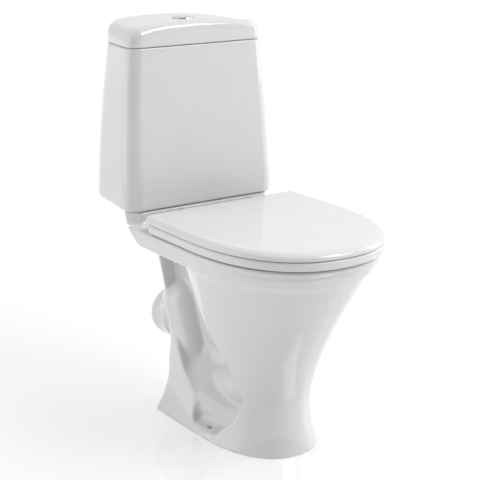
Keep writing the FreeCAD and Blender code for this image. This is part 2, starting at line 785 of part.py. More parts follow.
node("button_full", button_half("button_full", "-40", "40 + button_split - button_gap / 2"))
node("button_half", button_half("button_half", "button_split + button_gap / 2", 40))
for name, side in (("full_flush_rod", "full_rod_side"), ("half_flush_rod", "half_rod_side")):
    node(name, rod(name, 3, "button_top - 2.4 - rod_bottom", side, "valve_place", "rod_bottom"))
spring_wire = 0.8
spring_low, spring_high = size("bezel_base") + 3.05, size("button_top") - 2.45
for name, side in (("full_button_spring", "full_rod_side"),
                   ("half_button_spring", "half_rod_side")):
    shaped(name, make_spring(4.0, spring_wire, 4, spring_high - spring_low),
           (size(side), size("valve_place"), spring_low + spring_wire / 2))

# ------------------------------------------------------------------ flush valve
floor_top = "cistern_bottom + china_wall"
node("valve_gasket", tube("valve_gasket", "valve_tail_radius + 0.1", 42, 3, 0, "valve_place",
                          floor_top))
node("flush_valve_body", turned("flush_valve_body", [
    ("valve_bore", 0), ("valve_tail_radius", 0), ("valve_tail_radius", 38), (42, 38), (42, 42),
    ("valve_bore + 4", 42), ("valve_bore + 4", 48), ("valve_bore", 48)],
    0, "valve_place", f"{floor_top} + 3 - 38"))
cage_base = f"{floor_top} + 7"
cage_shell = turned("cage_shell", [
    (34, 0), (39, 0), (39, 3), (36.5, 3), (36.5, 195), (0, 195), (0, 191), (34, 191)],
    0, "valve_place", cage_base)
windows = [box("cage_window_across", 100, 22, 46, -50, "valve_place - 11", f"{cage_base} + 6"),
           box("cage_window_along", 22, 100, 46, -11, "valve_place - 50", f"{cage_base} + 6"),
           cylinder("cage_full_hole", 4, 40, "full_rod_side", "valve_place", f"{cage_base} + 170"),
           cylinder("cage_half_hole", 4, 40, "half_rod_side", "valve_place", f"{cage_base} + 170")]
node("flush_valve_cage", cut("flush_valve_cage", cage_shell, joined("cage_cuts", *windows)))
seat_lip = f"{floor_top} + 13"
node("flush_valve_seal", tube("flush_valve_seal", 12, 31, 4, 0, "valve_place", seat_lip))
node("overflow_tube", turned("overflow_tube", [
    (12, 0), (30, 0), (30, 3), (14, 5), (14, 145), (12, 145)],
    0, "valve_place", f"{seat_lip} + 4"))
node("valve_backnut", cut("valve_backnut",
                          hexagon("valve_backnut_hexagon", 41, 9, 0, "valve_place",
                                  "cistern_bottom - 9.2"),
                          cylinder("valve_backnut_bore", "valve_tail_radius + 0.1", 30, 0,
                                   "valve_place", "cistern_bottom - 20")))
gasket_height = "cistern_bottom - gasket_recess_floor - 0.2"
gasket_step = "cistern_bottom - gasket_recess_floor - 10"
node("coupling_gasket", turned("coupling_gasket", [
    ("valve_tail_radius + 1", 0), ("gasket_recess_radius - 0.5", 0),
    ("gasket_recess_radius - 0.5", gasket_height), (42, gasket_height), (42, gasket_step),
    ("valve_tail_radius + 1", gasket_step)],
    0, "valve_place", "gasket_recess_floor"))

# ------------------------------------------------------------------ cistern to pan fixings
bolt_spot = ("cistern_bolt_spread", "valve_place")
both_sides("cistern_bolt_washers", tube("cistern_bolt_washer",
                                        "cistern_bolt_radius + running_gap", 10.5, 3,
                                        *bolt_spot, floor_top))
both_sides("cistern_bolts", turned("cistern_bolt", [
    (0, 0), ("cistern_bolt_radius", 0), ("cistern_bolt_radius", 70), (8, 70), (8, 72.5),
    (5.5, 74.5), (0, 74.5)],
    *bolt_spot, f"{floor_top} + 3 - 70"))
both_sides("cistern_wing_nuts", wing_nut("cistern_wing_nut", "cistern_bolt_radius", *bolt_spot,
                                         "shelf_underside"))

# ------------------------------------------------------------------ filling valve
filler_spot = ("filler_side", "filler_place")
node("filler_washer", tube("filler_washer", "filler_tail_radius + 0.1", 17, 2.5, *filler_spot,
                           floor_top))
node("filler_shank", turned("filler_shank", [
    (4, 0), ("filler_tail_radius", 0), ("filler_tail_radius", 30),
    ("filler_tail_radius - 0.3", 30), ("filler_tail_radius - 0.3", 54), (16, 54), (16, 58),
    (9, 58), (9, 160), (14, 160), (14, 163), (9, 163), (9, 258), (4, 258)],
    *filler_spot, f"{floor_top} + 2.5 - 54"))
node("filler_backnut", cut("filler_backnut",
                           hexagon("filler_backnut_hexagon", 16, 8, *filler_spot,
                                   "cistern_bottom - 8.2"),
                           cylinder("filler_backnut_bore", "filler_tail_radius + 0.1", 30,
                                    *filler_spot, "cistern_bottom - 20")))
head_low = f"{floor_top} + 206.5"
cap = turned("filler_cap", [
    (0, 0.1), (16, 0.1), (16, 14), (12, 18), (12, 22), (0, 22)], *filler_spot, head_low)
ear = box("filler_ear", 8, 5, 14, "filler_side - 12", "filler_place - 2.5", f"{head_low} + 18")
ear_bore = cylinder("filler_ear_bore", 1.56, 20, "filler_side - 8", "filler_place + 10",
                    f"{head_low} + 27", vec(1, 0, 0))
node("filler_head", cut("filler_head", joined("filler_head_solid", cap, ear), ear_bore))
arm_axis_z = f"{head_low} + 27"
arm_blade = box("arm_blade", "filler_arm_length + 8", 12, 4,
                "filler_side - 8 - filler_arm_length - 5", "filler_place - 6",
                f"{arm_axis_z} - 2")
arm_fork = box("arm_fork", 12, 5.6, 20, "filler_side - 13.5", "filler_place - 2.8",
               f"{arm_axis_z} - 10")
arm_slot = box("arm_slot", 8, 4, 20, "filler_side - 8 - filler_arm_length - 4",
               "filler_place - 2", f"{arm_axis_z} - 10")
arm_bore = cylinder("arm_bore", 1.5, 20, "filler_side - 8", "filler_place + 10", arm_axis_z,
                    vec(1, 0, 0))
arm_eyes = cylinder("arm_eyes", 3.6, 12, "filler_side - 8", "filler_place + 6", arm_axis_z,
                    vec(1, 0, 0))
arm_solid = joined("arm_solid", arm_blade, arm_eyes)
node("filler_arm", cut("filler_arm", arm_solid,
                       joined("arm_cuts", arm_fork, arm_slot, arm_bore)))
node("filler_arm_pin", cylinder("filler_arm_pin", 1.5, 12, "filler_side - 8",
                                "filler_place + 6", arm_axis_z, vec(1, 0, 0)))
float_low = f"{floor_top} + 111.6"
float_cup = tube("float_cup", 11, 20, 48, *filler_spot, float_low)
float_tab = box("float_tab", 18, 8, 4, "filler_side - 36", "filler_place - 4",
                f"{float_low} + 40")
node("filler_float", joined("filler_float", float_cup, float_tab))
link_low = f"{float_low} + 44"
link_x = "filler_side - 8 - filler_arm_length"
link_rod = rod("link_rod", 1.4, f"{arm_axis_z} + 7 - ({link_low})", link_x, "filler_place",
               link_low)
link_lower = rod("link_lower", 2.6, 2, link_x, "filler_place", f"{arm_axis_z} - 5.5")
link_upper = rod("link_upper", 2.6, 2, link_x, "filler_place", f"{arm_axis_z} + 3.5")
node("filler_link", joined("filler_link", link_rod, link_lower, link_upper))

# ------------------------------------------------------------------ checks and files
doc.recompute()
for thing in doc.Objects:
    bad = [state for state in thing.State if state in ("Invalid", "Error")]
    if bad:
        raise RuntimeError(f"{thing.Name} failed to recompute: {bad}")
for thing in nodes:
    if thing.Shape.isNull() or not thing.Shape.isValid():
        raise RuntimeError(f"{thing.Label} has no valid shape")
    if not thing.Shape.Solids:
        raise RuntimeError(f"{thing.Label} holds no solid")
for thing in nodes:
    thing.Shape.exportStep(f"parts/{thing.Label}.step")
print(f"{len(nodes)} sub-parts written")
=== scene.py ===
import json
import math

import bmesh
import bpy
import numpy as np
import openvdb
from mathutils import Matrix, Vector


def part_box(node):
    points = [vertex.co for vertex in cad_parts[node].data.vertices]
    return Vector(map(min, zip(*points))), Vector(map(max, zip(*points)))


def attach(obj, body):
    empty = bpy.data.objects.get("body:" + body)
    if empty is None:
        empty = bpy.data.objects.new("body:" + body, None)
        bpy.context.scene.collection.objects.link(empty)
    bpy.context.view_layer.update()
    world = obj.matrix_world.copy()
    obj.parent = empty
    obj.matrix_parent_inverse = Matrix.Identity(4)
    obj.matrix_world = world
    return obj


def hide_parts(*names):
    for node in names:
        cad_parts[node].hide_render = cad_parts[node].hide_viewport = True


# The close coupled toilet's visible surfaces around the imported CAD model.  Shapes are worked out
# in millimetres, in the row frame, and scaled to metres as each mesh is made.

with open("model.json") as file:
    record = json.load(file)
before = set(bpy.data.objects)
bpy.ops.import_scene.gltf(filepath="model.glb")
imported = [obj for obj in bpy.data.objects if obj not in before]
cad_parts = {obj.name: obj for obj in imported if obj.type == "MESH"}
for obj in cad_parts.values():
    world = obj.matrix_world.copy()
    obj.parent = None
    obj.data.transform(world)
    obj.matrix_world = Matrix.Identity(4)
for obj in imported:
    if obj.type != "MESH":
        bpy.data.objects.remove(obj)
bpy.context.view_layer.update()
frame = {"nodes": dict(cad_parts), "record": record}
MM = 0.001


def box_mm(node):
    """Lowest and highest corner of a CAD node, in millimetres."""
    return tuple(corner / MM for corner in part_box(node))


PAN_LOW, PAN_HIGH = box_mm("pan")
CISTERN_LOW, CISTERN_HIGH = box_mm("cistern")
RING_LOW, RING_HIGH = box_mm("seat_ring")
BEZEL_LOW, BEZEL_HIGH = box_mm("button_bezel")
POST_LOW, POST_HIGH = box_mm("hinge_post_right")
WASHER_HIGH = box_mm("cistern_bolt_washers")[1]
SHANK_LOW, SHANK_HIGH = box_mm("filler_shank")

WALL = 12.0                                   # thickness of the china
RING_GAP, WASHER_RADIUS = 4.0, 10.5
RIM = RING_LOW.z - RING_GAP                   # flat top of the pan's rim
SHELF = PAN_HIGH.z                            # top of the shelf under the cistern
RIM_HALF, RIM_FRONT = PAN_HIGH.x, PAN_LOW.y
VALVE_Y = (BEZEL_LOW.y + BEZEL_HIGH.y) / 2    # button, flush valve and cistern bolts
HINGE_X = (POST_LOW.x + POST_HIGH.x) / 2
HINGE_Y = (POST_LOW.y + POST_HIGH.y) / 2
HINGE_Z = 419.0
BOLT_X = WASHER_HIGH.x - WASHER_RADIUS
FILLER_X, FILLER_Y = (SHANK_LOW.x + SHANK_HIGH.x) / 2, (SHANK_LOW.y + SHANK_HIGH.y) / 2


# ------------------------------------------------------------------ numbers between two ends
def mix(low, high, share):
    return low + (high - low) * share


def smooth(share):
    share = np.clip(share, 0, 1)
    return share * share * (3 - 2 * share)


def through(stations, values, at):
    """The smooth curve through every station, as one polynomial."""
    middle, reach = stations[len(stations) // 2], stations[-1] - stations[0]
    scaled = (np.array(stations, float) - middle) / reach
    curve = np.polyfit(scaled, values, len(stations) - 1)
    return np.polyval(curve, (np.clip(at, stations[0], stations[-1]) - middle) / reach)


# ------------------------------------------------------------------ distance fields, in mm
def joined(a, b, blend):
    """Union of two fields with a fillet."""
    reach = np.maximum(blend - np.abs(a - b), 0) / blend
    return np.minimum(a, b) - reach * reach * blend / 4


def common(a, b, blend):
    """What lies in both fields, with a rounded edge."""
    return -joined(-a, -b, blend)


def without(a, b, blend):
    """The first field less the second, with a rounded edge."""
    return -joined(-a, b, blend)


def rounded_front(x, forward, half, reach, power):
    """A superellipse in front of its side line and straight sides behind it."""
    across = np.abs(x) / half
    along = np.maximum(forward, 0) / reach
    size = np.maximum((across ** power + along ** power) ** (1 / power), 1e-3)
    slope = np.hypot(across ** (power - 1) / half, along ** (power - 1) / reach)
    return (size - 1) / np.maximum(slope * size ** (1 - power), 1e-4)


def oval(x, y, half, length, middle):
    """An upright elliptic column, wider or longer at some heights if its sizes are arrays."""
    size = np.maximum(np.hypot(x / half, (y - middle) / length), 1e-3)
    slope = np.hypot(x / half ** 2, (y - middle) / length ** 2) / size
    return (size - 1) / np.maximum(slope, 1e-4)


def tube_along(x, y, z, points, radii):
    """Round pipe along straight runs through (y, z) points of the middle plane."""
    radii = np.broadcast_to(radii, len(points))
    nearest = None
    for (y0, z0), (y1, z1), r0, r1 in zip(points, points[1:], radii, radii[1:]):
        dy, dz = y1 - y0, z1 - z0
        share = np.clip(((y - y0) * dy + (z - z0) * dz) / (dy * dy + dz * dz), 0, 1)
        gap = np.sqrt(x * x + (y - y0 - share * dy) ** 2 + (z - z0 - share * dz) ** 2)
        gap = gap - mix(r0, r1, share)
        nearest = gap if nearest is None else np.minimum(nearest, gap)
    return nearest


def upright(x, y, radius, at_x, at_y):
    """Endless round bore along Z, on both sides of the middle plane."""
    return np.hypot(np.abs(x) - at_x, y - at_y) - radius


def flat_shape(u, v, corners):
    """Distance to a closed polygon, negative inside."""
    nearest = None
    inside = np.zeros(np.broadcast(u, v).shape, bool)
    for (u0, v0), (u1, v1) in zip(corners, corners[1:] + corners[:1]):
        du, dv = u1 - u0, v1 - v0
        share = np.clip(((u - u0) * du + (v - v0) * dv) / (du * du + dv * dv), 0, 1)
        gap = (u - u0 - share * du) ** 2 + (v - v0 - share * dv) ** 2
        nearest = gap if nearest is None else np.minimum(nearest, gap)
        if v0 != v1:
            inside ^= ((v0 > v) != (v1 > v)) & (u < u0 + (v - v0) * du / dv)
    return np.where(inside, -1, 1) * np.sqrt(nearest)


def shrunk(corners, inset):
    """A polygon with every side moved inwards; its corners may run either way round."""
    area = sum(u0 * v1 - u1 * v0 for (u0, v0), (u1, v1) in zip(corners, corners[1:] + corners[:1]))
    turn = math.copysign(inset, area)
    moved = []
    count = len(corners)
    for i in range(count):
        before, here, after = (np.array(corners[(i + k) % count], float) for k in (-1, 0, 1))
        first, second = here - before, after - here
        first, second = first / np.hypot(*first), second / np.hypot(*second)
        inward = np.array([-first[1] - second[1], first[0] + second[0]])
        share = 1 + first @ second
        moved.append(tuple(here + inward * turn / share))
    return moved


# ------------------------------------------------------------------ the pan
# HALF is half a width along X, FRONT and BACK are places along Y, and Z, LOW and TOP are heights.
# The leg, the trap, the pocket and the web are (y, z) points, and the shelf's plan is (x, y).
SIDE_LINE = -78.0             # where the round front starts, at the rim
SEAT_POWER, COLUMN_POWER = 2.3, 2.33
DECK_LOW, SHELF_LOW = 362.0, 394.0
DECK_BACK_Z, DECK_BACK_Y = (DECK_LOW, 374, 385, 405, SHELF), (112, 126, 137, 151, 165)
SHELF_ROUND, SHELF_LEAN = 8.0, 0.16
COLUMN_TOP, FLARE_TOP, FLARE_POWER = 382.0, 400.0, 1.45
WAIST_Z, WAIST_HALF, WAIST_FRONT = 95.0, 91.0, -159.0
FOOT_HALF, FOOT_FRONT, FOOT_BACK, FOOT_SIDE_LINE = 106.0, -177.0, 165.0, 2.0
BACK_HALF, BACK_TUCK, TUCK_SHARE = 63.0, 16.0, 0.18     # the column's rear, and how it narrows
BACK_BELOW, BACK_ABOVE, BACK_FLARE = 16.0, 64.0, 40.0   # how the rear leans, then sweeps back
WEB_HALF, WEB_FOOT_HALF, WEB_REAR_EXTRA = 16.0, 61.0, 23.0
PANEL_TOP, PANEL_REAR_RISE, PANEL_SLOPE = 96.0, 50.0, 90.0
PANEL_FRONT, PANEL_LENGTH = -90.0, 190.0
LEG, LEG_RADII = [(96, 17), (140, 88), (194, 205)], np.array([66.0, 49.0, 48.0])
TRAP = [(-45, 92), (112, 60), (148, 96), (190, 204), (210, 200), (224, 165), (252, 165)]
TRAP_RADIUS, TRAP_SKIN = 34.0, 11.0
SPIGOT_RADIUS, SPIGOT_ROOT, SPIGOT_BORE = 51.0, 49.0, 42.0
SPIGOT_Z, SPIGOT_START, SPIGOT_END = 165.0, 248.0, 265.0
SPIGOT_FROM, SPIGOT_DEPTH = 214.0, 42.0
PASSAGE_RADIUS, PASSAGE_Z = 20.0, 366.0
FLUSH_BORE, ELBOW_TOP = 28.0, 380.0
GASKET_RADIUS, GASKET_FLOOR = 47.0, 398.0
MOUTH_MIDDLE, MOUTH_HALF, MOUTH_LENGTH, MOUTH_LOW = -117.0, 121.0, 148.0, DECK_LOW + 10
BOWL_Z = (92.0, 150.0, 220.0, 300.0, 380.0)
BOWL_HALF = (38, 52, 85, 117, 145)
BOWL_LENGTH = (40, 56, 85, 129, 168)
BOWL_MIDDLE = (-53, -64, -82, -94, -115)
BOWL_STEEPNESS, BOWL_ROUND = 0.85, 34.0       # its walls lean, so true distances are shorter
HOLLOW_TOP = 205.0
NUT_SPACE, NUT_SPACE_HALF = (104, 88, 354), (46, 28, 30)
SEAT_HOLE, SEAT_HOLE_LOW = 6.0, 345.0
CISTERN_HOLE, CISTERN_HOLE_LOW = 5.5, 364.0
FLOOR_HOLE, FLOOR_HOLE_TOP, FLOOR_HOLE_X, FLOOR_HOLE_Y = 4.25, 59.0, 85.0, -7.0
LEDGE = 17.0
POCKET_ROUND = 12.0
POCKET = shrunk([(14, 352), (-26, 258), (-80, 177), (-104, 102), (-84, 58), (-40, LEDGE),
                 (34, LEDGE), (48, 44), (121, 108), (180, 158), (207, 235), (246, 352)],
                POCKET_ROUND)
WEB = [(-40, 20), (145, 20), (232, 322), (254, 380), (-20, 380), (-60, 300)]
SHELF_PLAN = shrunk([(-20, 130), (146, 132), (168, 165), (92, 222), (92, 288), (-20, 288)],
                    SHELF_ROUND)


def column(x, y, z):
    """The pedestal, waisted above the foot, before its sides are hollowed."""
    low = np.clip(z / WAIST_Z, 0, 1)
    foot = 1 - (1 - low) ** 2
    high = np.clip((z - WAIST_Z) / (FLARE_TOP - WAIST_Z), 0, 1)
    spread = high ** FLARE_POWER
    half = mix(mix(FOOT_HALF, WAIST_HALF, foot), RIM_HALF, spread)
    front = mix(mix(FOOT_FRONT, WAIST_FRONT, foot), RIM_FRONT, spread)
    back_half = mix(FOOT_HALF, BACK_HALF, foot) - BACK_TUCK * np.clip(high / TUCK_SHARE, 0, 1)
    back = FOOT_BACK + BACK_BELOW * low + BACK_ABOVE * high + BACK_FLARE * high ** 2
    side = mix(FOOT_SIDE_LINE, SIDE_LINE, np.clip(z / FLARE_TOP, 0, 1))
    taper = np.clip((y - side) / (back - side), 0, 1)
    wide = rounded_front(x, side - y, mix(half, back_half, taper), side - front, COLUMN_POWER)
    return common(common(wide, y - back, 8), z - COLUMN_TOP, 4)


def pocket(x, y, z):
    """One side's hollow between the front column, the leg and the foot; shallower low down."""
    outline = flat_shape(y, z, POCKET) - POCKET_ROUND
    rear = smooth((y - PANEL_FRONT) / PANEL_LENGTH)
    web = mix(WEB_HALF, WEB_FOOT_HALF + WEB_REAR_EXTRA * rear,
              smooth((PANEL_TOP + PANEL_REAR_RISE * rear - z) / PANEL_SLOPE))
    return common(outline, web - np.abs(x), 18)


def bowl(x, y, z, skin):
    """The bowl's space, or with a skin the china round it."""
    half = through(BOWL_Z, BOWL_HALF, z) + skin
    length = through(BOWL_Z, BOWL_LENGTH, z) + skin
    sides = oval(x, y, half, length, through(BOWL_Z, BOWL_MIDDLE, z)) * BOWL_STEEPNESS
    return common(common(sides, BOWL_Z[0] - skin - z, BOWL_ROUND), z - BOWL_Z[-1], 6)


def deck(x, y, z):
    """The band round the rim, with the shelf that carries the cistern behind it."""
    share = np.clip((z - DECK_LOW) / (RIM - DECK_LOW), 0, 1)
    back = np.interp(z, DECK_BACK_Z, DECK_BACK_Y)
    sides = rounded_front(x, SIDE_LINE - y, mix(RIM_HALF - 9, RIM_HALF, share),
                          SIDE_LINE - mix(RIM_FRONT + 26, RIM_FRONT, share), SEAT_POWER)
    band = common(common(sides, y - back, 5), z - RIM, 7)
    band = common(band, DECK_LOW - z, 10)
    plan = flat_shape(np.abs(x), y, SHELF_PLAN) - SHELF_ROUND + (SHELF - z) * SHELF_LEAN
    shelf = common(common(plan, z - SHELF, 5), SHELF_LOW - z, 8)
    return joined(band, shelf, 10)


def underside(x, y, z):
    """The space inside the pedestal, open at the floor."""
    above_ledge = np.maximum(z, LEDGE + POCKET_ROUND)
    space = common(column(x, y, z) + WALL, WALL - pocket(x, y, above_ledge), 8)
    space = joined(space, tube_along(x, y, z, LEG, LEG_RADII - WALL), 8)
    space = without(space, bowl(x, y, z, WALL), 6)
    space = without(space, tube_along(x, y, z, TRAP, TRAP_RADIUS + TRAP_SKIN), 6)
    return common(space, z - HOLLOW_TOP, 6)


def water_ways(x, y, z):
    """Bowl, mouth, trap, flushing passage and the outlet's bore."""
    mouth = common(oval(x, y, MOUTH_HALF, MOUTH_LENGTH, MOUTH_MIDDLE), MOUTH_LOW - z, 4)
    along = np.hypot(x, z - PASSAGE_Z) - PASSAGE_RADIUS
    passage = np.maximum(np.maximum(along, -y), y - VALVE_Y)
    drop = np.maximum(upright(x, y, FLUSH_BORE, 0, VALVE_Y), PASSAGE_Z - z)
    elbow = np.sqrt(x * x + (y - VALVE_Y) ** 2 + (z - PASSAGE_Z) ** 2) - FLUSH_BORE
    gasket = np.maximum(upright(x, y, GASKET_RADIUS, 0, VALVE_Y), GASKET_FLOOR - z)
    outlet = np.maximum(np.hypot(x, z - SPIGOT_Z) - SPIGOT_BORE, SPIGOT_END - SPIGOT_DEPTH - y)
    ways = joined(bowl(x, y, z, 0), tube_along(x, y, z, TRAP, TRAP_RADIUS), 10)
    ways = joined(joined(ways, mouth, 3), passage, 4)
    return np.minimum(np.minimum(np.minimum(ways, drop), elbow), np.minimum(gasket, outlet))


def fixings(x, y, z):
    """The clearance under the deck for the seat nuts, and every fixing hole."""
    across, along, up = (np.abs(place - middle) - half for place, middle, half
                         in zip((np.abs(x), y, z), NUT_SPACE, NUT_SPACE_HALF))
    nut_space = np.maximum(np.maximum(across, along), up)
    seat = np.maximum(upright(x, y, SEAT_HOLE, HINGE_X, HINGE_Y), SEAT_HOLE_LOW - z)
    cistern = np.maximum(upright(x, y, CISTERN_HOLE, BOLT_X, VALVE_Y), CISTERN_HOLE_LOW - z)
    floor = np.maximum(upright(x, y, FLOOR_HOLE, FLOOR_HOLE_X, FLOOR_HOLE_Y), z - FLOOR_HOLE_TOP)
    return np.minimum(np.minimum(nut_space, seat), np.minimum(cistern, floor))


def pan(x, y, z):
    """The whole casting.  The last number of each join or cut is its fillet."""
    body = without(column(x, y, z), pocket(x, y, z), 7)
    shell = bowl(x, y, z, WALL)
    web = common(flat_shape(y, z, WEB), np.abs(x) - WEB_HALF, 6)
    leg = tube_along(x, y, z, LEG, LEG_RADII)
    trap = tube_along(x, y, z, TRAP, TRAP_RADIUS + TRAP_SKIN)
    along = np.hypot(x, z - PASSAGE_Z) - PASSAGE_RADIUS - WALL
    passage = np.maximum(np.maximum(along, -y), y - VALVE_Y)
    elbow = tube_along(x, y, z, [(VALVE_Y, PASSAGE_Z), (VALVE_Y, ELBOW_TOP)], FLUSH_BORE + WALL)
    passage = joined(passage, elbow, 6)
    around = np.hypot(x, z - SPIGOT_Z)
    root = common(around - SPIGOT_ROOT, np.maximum(y - SPIGOT_START - 4, SPIGOT_FROM - y), 4)
    spigot = common(around - SPIGOT_RADIUS, np.maximum(y - SPIGOT_END, SPIGOT_START - y), 3)
    spigot = joined(root, spigot, 2)
    body = joined(joined(body, shell, 14), web, 12)
    body = joined(body, joined(leg, trap, 24), 8)
    body = joined(joined(body, common(passage, z - ELBOW_TOP, 4), 12), spigot, 10)
    body = joined(joined(body, deck(x, y, z), 9), passage, 2)
    body = common(body, -z, 3)
    body = without(body, underside(x, y, z), 5)
    body = without(body, water_ways(x, y, z), 6)
    return without(body, fixings(x, y, z), 2.5)


def gradient(field, points, step=0.4):
    """How a field rises along X, Y and Z at each point."""
    parts = []
    for axis in range(3):
        nudge = np.zeros(3)
        nudge[axis] = step
        parts.append((field(*(points + nudge).T) - field(*(points - nudge).T)) / (2 * step))
    return np.stack(parts, 1)


def surface_of(name, field, low, high, cell):
    """The skin of a field as a mesh, its points moved exactly on to the surface."""
    half = np.arange(int(math.ceil((high[0] + 2 * cell) / cell)) + 1) * cell
    across, up = (np.arange(low[i] - 2 * cell, high[i] + 2.5 * cell, cell) for i in (1, 2))
    x, y, z = half[:, None, None], across[None, :, None], up[None, None, :]
    right = field(x, y, z).astype(np.float32)
    values = np.concatenate([right[:0:-1], right], 0)
    grid = openvdb.FloatGrid(background=float(3 * cell))
    grid.copyFromArray(values)
    points, triangles, quads = grid.convertToPolygons(0.0, 0.0)
    points = np.array(points, float) * cell
    points += (-half[-1], across[0], up[0])
    for _ in range(3):
        slope = gradient(field, points)
        size = np.maximum((slope ** 2).sum(1), 0.05)
        move = -slope * (field(*points.T) / size)[:, None]
        length = np.maximum(np.hypot(np.hypot(move[:, 0], move[:, 1]), move[:, 2]), 1e-9)
        points += move * np.minimum(1, 0.6 * cell / length)[:, None]
    slope = gradient(field, points)
    slope /= np.maximum(np.linalg.norm(slope, axis=1), 1e-9)[:, None]
    faces = np.array(quads, int)
    corner = points[faces]
    turned = np.cross(corner[:, 2] - corner[:, 0], corner[:, 3] - corner[:, 1])
    if (turned * slope[faces[:, 0]]).sum(1).mean() < 0:
        faces = faces[:, ::-1]
    mesh = bpy.data.meshes.new(name)
    mesh.from_pydata((points * MM).tolist(), [], faces.tolist() + np.array(triangles, int).tolist())
    mesh.polygons.foreach_set("use_smooth", [True] * len(mesh.polygons))
    mesh.normals_split_custom_set_from_vertices(slope.tolist())
    thing = bpy.data.objects.new(name, mesh)
    bpy.context.scene.collection.objects.link(thing)
    return thing, points


# ------------------------------------------------------------------ swept shells
def quarter_turn(steps):
    """Along a rounded edge, two shares: how far it has risen, and how far is left inwards."""
    turns = [math.pi / 2 * k / steps for k in range(steps + 1)]
    return [(1 - math.cos(turn), 1 - math.sin(turn)) for turn in turns]


def sweep(name, rings, ends="flat"):
    """A mesh through closed rings of points (in mm).  Its ends are flat caps, or they are
    joined to each other as in a tube, or each end ring is pinched shut along a line."""
    count = len(rings[0])
    points = np.concatenate([np.asarray(ring, float) for ring in rings]) * MM
    faces = []
    pairs = list(zip(range(len(rings)), range(1, len(rings))))
    if ends == "tube":
        pairs.append((len(rings) - 1, 0))
    for low, high in pairs:
        for i in range(count):
            j = (i + 1) % count
            faces.append((low * count + i, low * count + j, high * count + j, high * count + i))
    if ends == "flat":
        faces.append(tuple(reversed(range(count))))
        faces.append(tuple(range((len(rings) - 1) * count, len(rings) * count)))
    mesh = bpy.data.meshes.new(name)
    mesh.from_pydata(points.tolist(), [], faces)
    work = bmesh.new()
    work.from_mesh(mesh)
    if ends == "pinched":
        bmesh.ops.remove_doubles(work, verts=work.verts, dist=1e-6)
    bmesh.ops.recalc_face_normals(work, faces=work.faces)
    work.to_mesh(mesh)
    work.free()
    mesh.polygons.foreach_set("use_smooth", [True] * len(mesh.polygons))
    thing = bpy.data.objects.new(name, mesh)
    bpy.context.scene.collection.objects.link(thing)
    return thing


def moved_in(outline, inset):
    """An anticlockwise outline moved inwards, by one distance or by one for each point."""
    along = np.roll(outline, -1, 0) - np.roll(outline, 1, 0)
    along /= np.hypot(along[:, 0], along[:, 1])[:, None]
    inward = np.column_stack([-along[:, 1], along[:, 0]])
    return outline + inward * np.broadcast_to(inset, len(outline))[:, None]


def at_height(plan, z):
    """Plan points lifted to one height, or to a height for each point."""
    plan = np.asarray(plan, float)
    return np.column_stack([plan, np.broadcast_to(z, len(plan))])


def apply(thing, kind, **settings):
    """Adds a modifier and keeps its result as the mesh."""
    modifier = thing.modifiers.new(kind.lower(), kind)
    for key, value in settings.items():
        setattr(modifier, key, value)
    bpy.context.view_layer.update()
    graph = bpy.context.evaluated_depsgraph_get()
    mesh = bpy.data.meshes.new_from_object(thing.evaluated_get(graph))
    thing.modifiers.clear()
    thing.data = mesh
    return thing


BORE_STEPS = 64


def bore(thing, tools):
    """Cuts round holes, given as (x, y, z, radius, depth downwards)."""
    for x, y, z, radius, depth in tools:
        ring = [(x + radius * math.cos(a), y + radius * math.sin(a))
                for a in np.linspace(0, 2 * math.pi, BORE_STEPS, endpoint=False)]
        tool = sweep("tool", [at_height(ring, z - depth), at_height(ring, z)])
        apply(thing, "BOOLEAN", operation="DIFFERENCE", solver="EXACT", object=tool)
        bpy.data.objects.remove(tool)
    return thing


SHARP_ANGLE = math.radians(42)


def soften(thing):
    """Normals that keep large faces flat and only turn across the rounded edges."""
    thing.data.polygons.foreach_set("use_smooth", [True] * len(thing.data.polygons))
    thing.data.set_sharp_from_angle(angle=SHARP_ANGLE)
    return apply(thing, "WEIGHTED_NORMAL", keep_sharp=True, weight=80, mode="FACE_AREA")


def joined_piece(name, *things):
    """One object that holds the meshes of several."""
    work = bmesh.new()
    for thing in things:
        work.from_mesh(thing.data)
    mesh = bpy.data.meshes.new(name)
    work.to_mesh(mesh)
    work.free()
    for thing in things:
        bpy.data.objects.remove(thing)
    whole = bpy.data.objects.new(name, mesh)
    bpy.context.scene.collection.objects.link(whole)
    return whole


# ------------------------------------------------------------------ cistern and its lid
JOINT = CISTERN_HIGH.z                        # between cistern and lid
CISTERN_FLOOR = CISTERN_LOW.z + WALL
BACK = CISTERN_HIGH.y
CISTERN_WALL, CISTERN_INNER_ROUND = 10.0, 12.0
FRONT_LEAN, SIDE_LEAN = 18.0, 19.0            # how far in the top stands, at front and sides
FRONT_ROUND, BACK_ROUND, LEAST_ROUND = (32, 24), (64, 72), 5
CORNER_STEPS, EDGE_STEPS = 12, 10
BASE_ROUND_FRONT, BASE_ROUND_REAR = 5.0, 15.0
VALVE_HOLE, BOLT_HOLE, FILLER_HOLE = 31.0, 5.5, 12.0
CROWN, CROWN_RADIUS = 777.5, 1066.0
LID_WALL, LID_INNER_ROUND, LID_ROUND_MIDDLE, LID_ROUND_ENDS = 12.0, 6.0, 14.0, 22.0
GROOVE_EDGE, GROOVE_GAP, GROOVE_DEPTH = 2.2, 0.8, 6.0


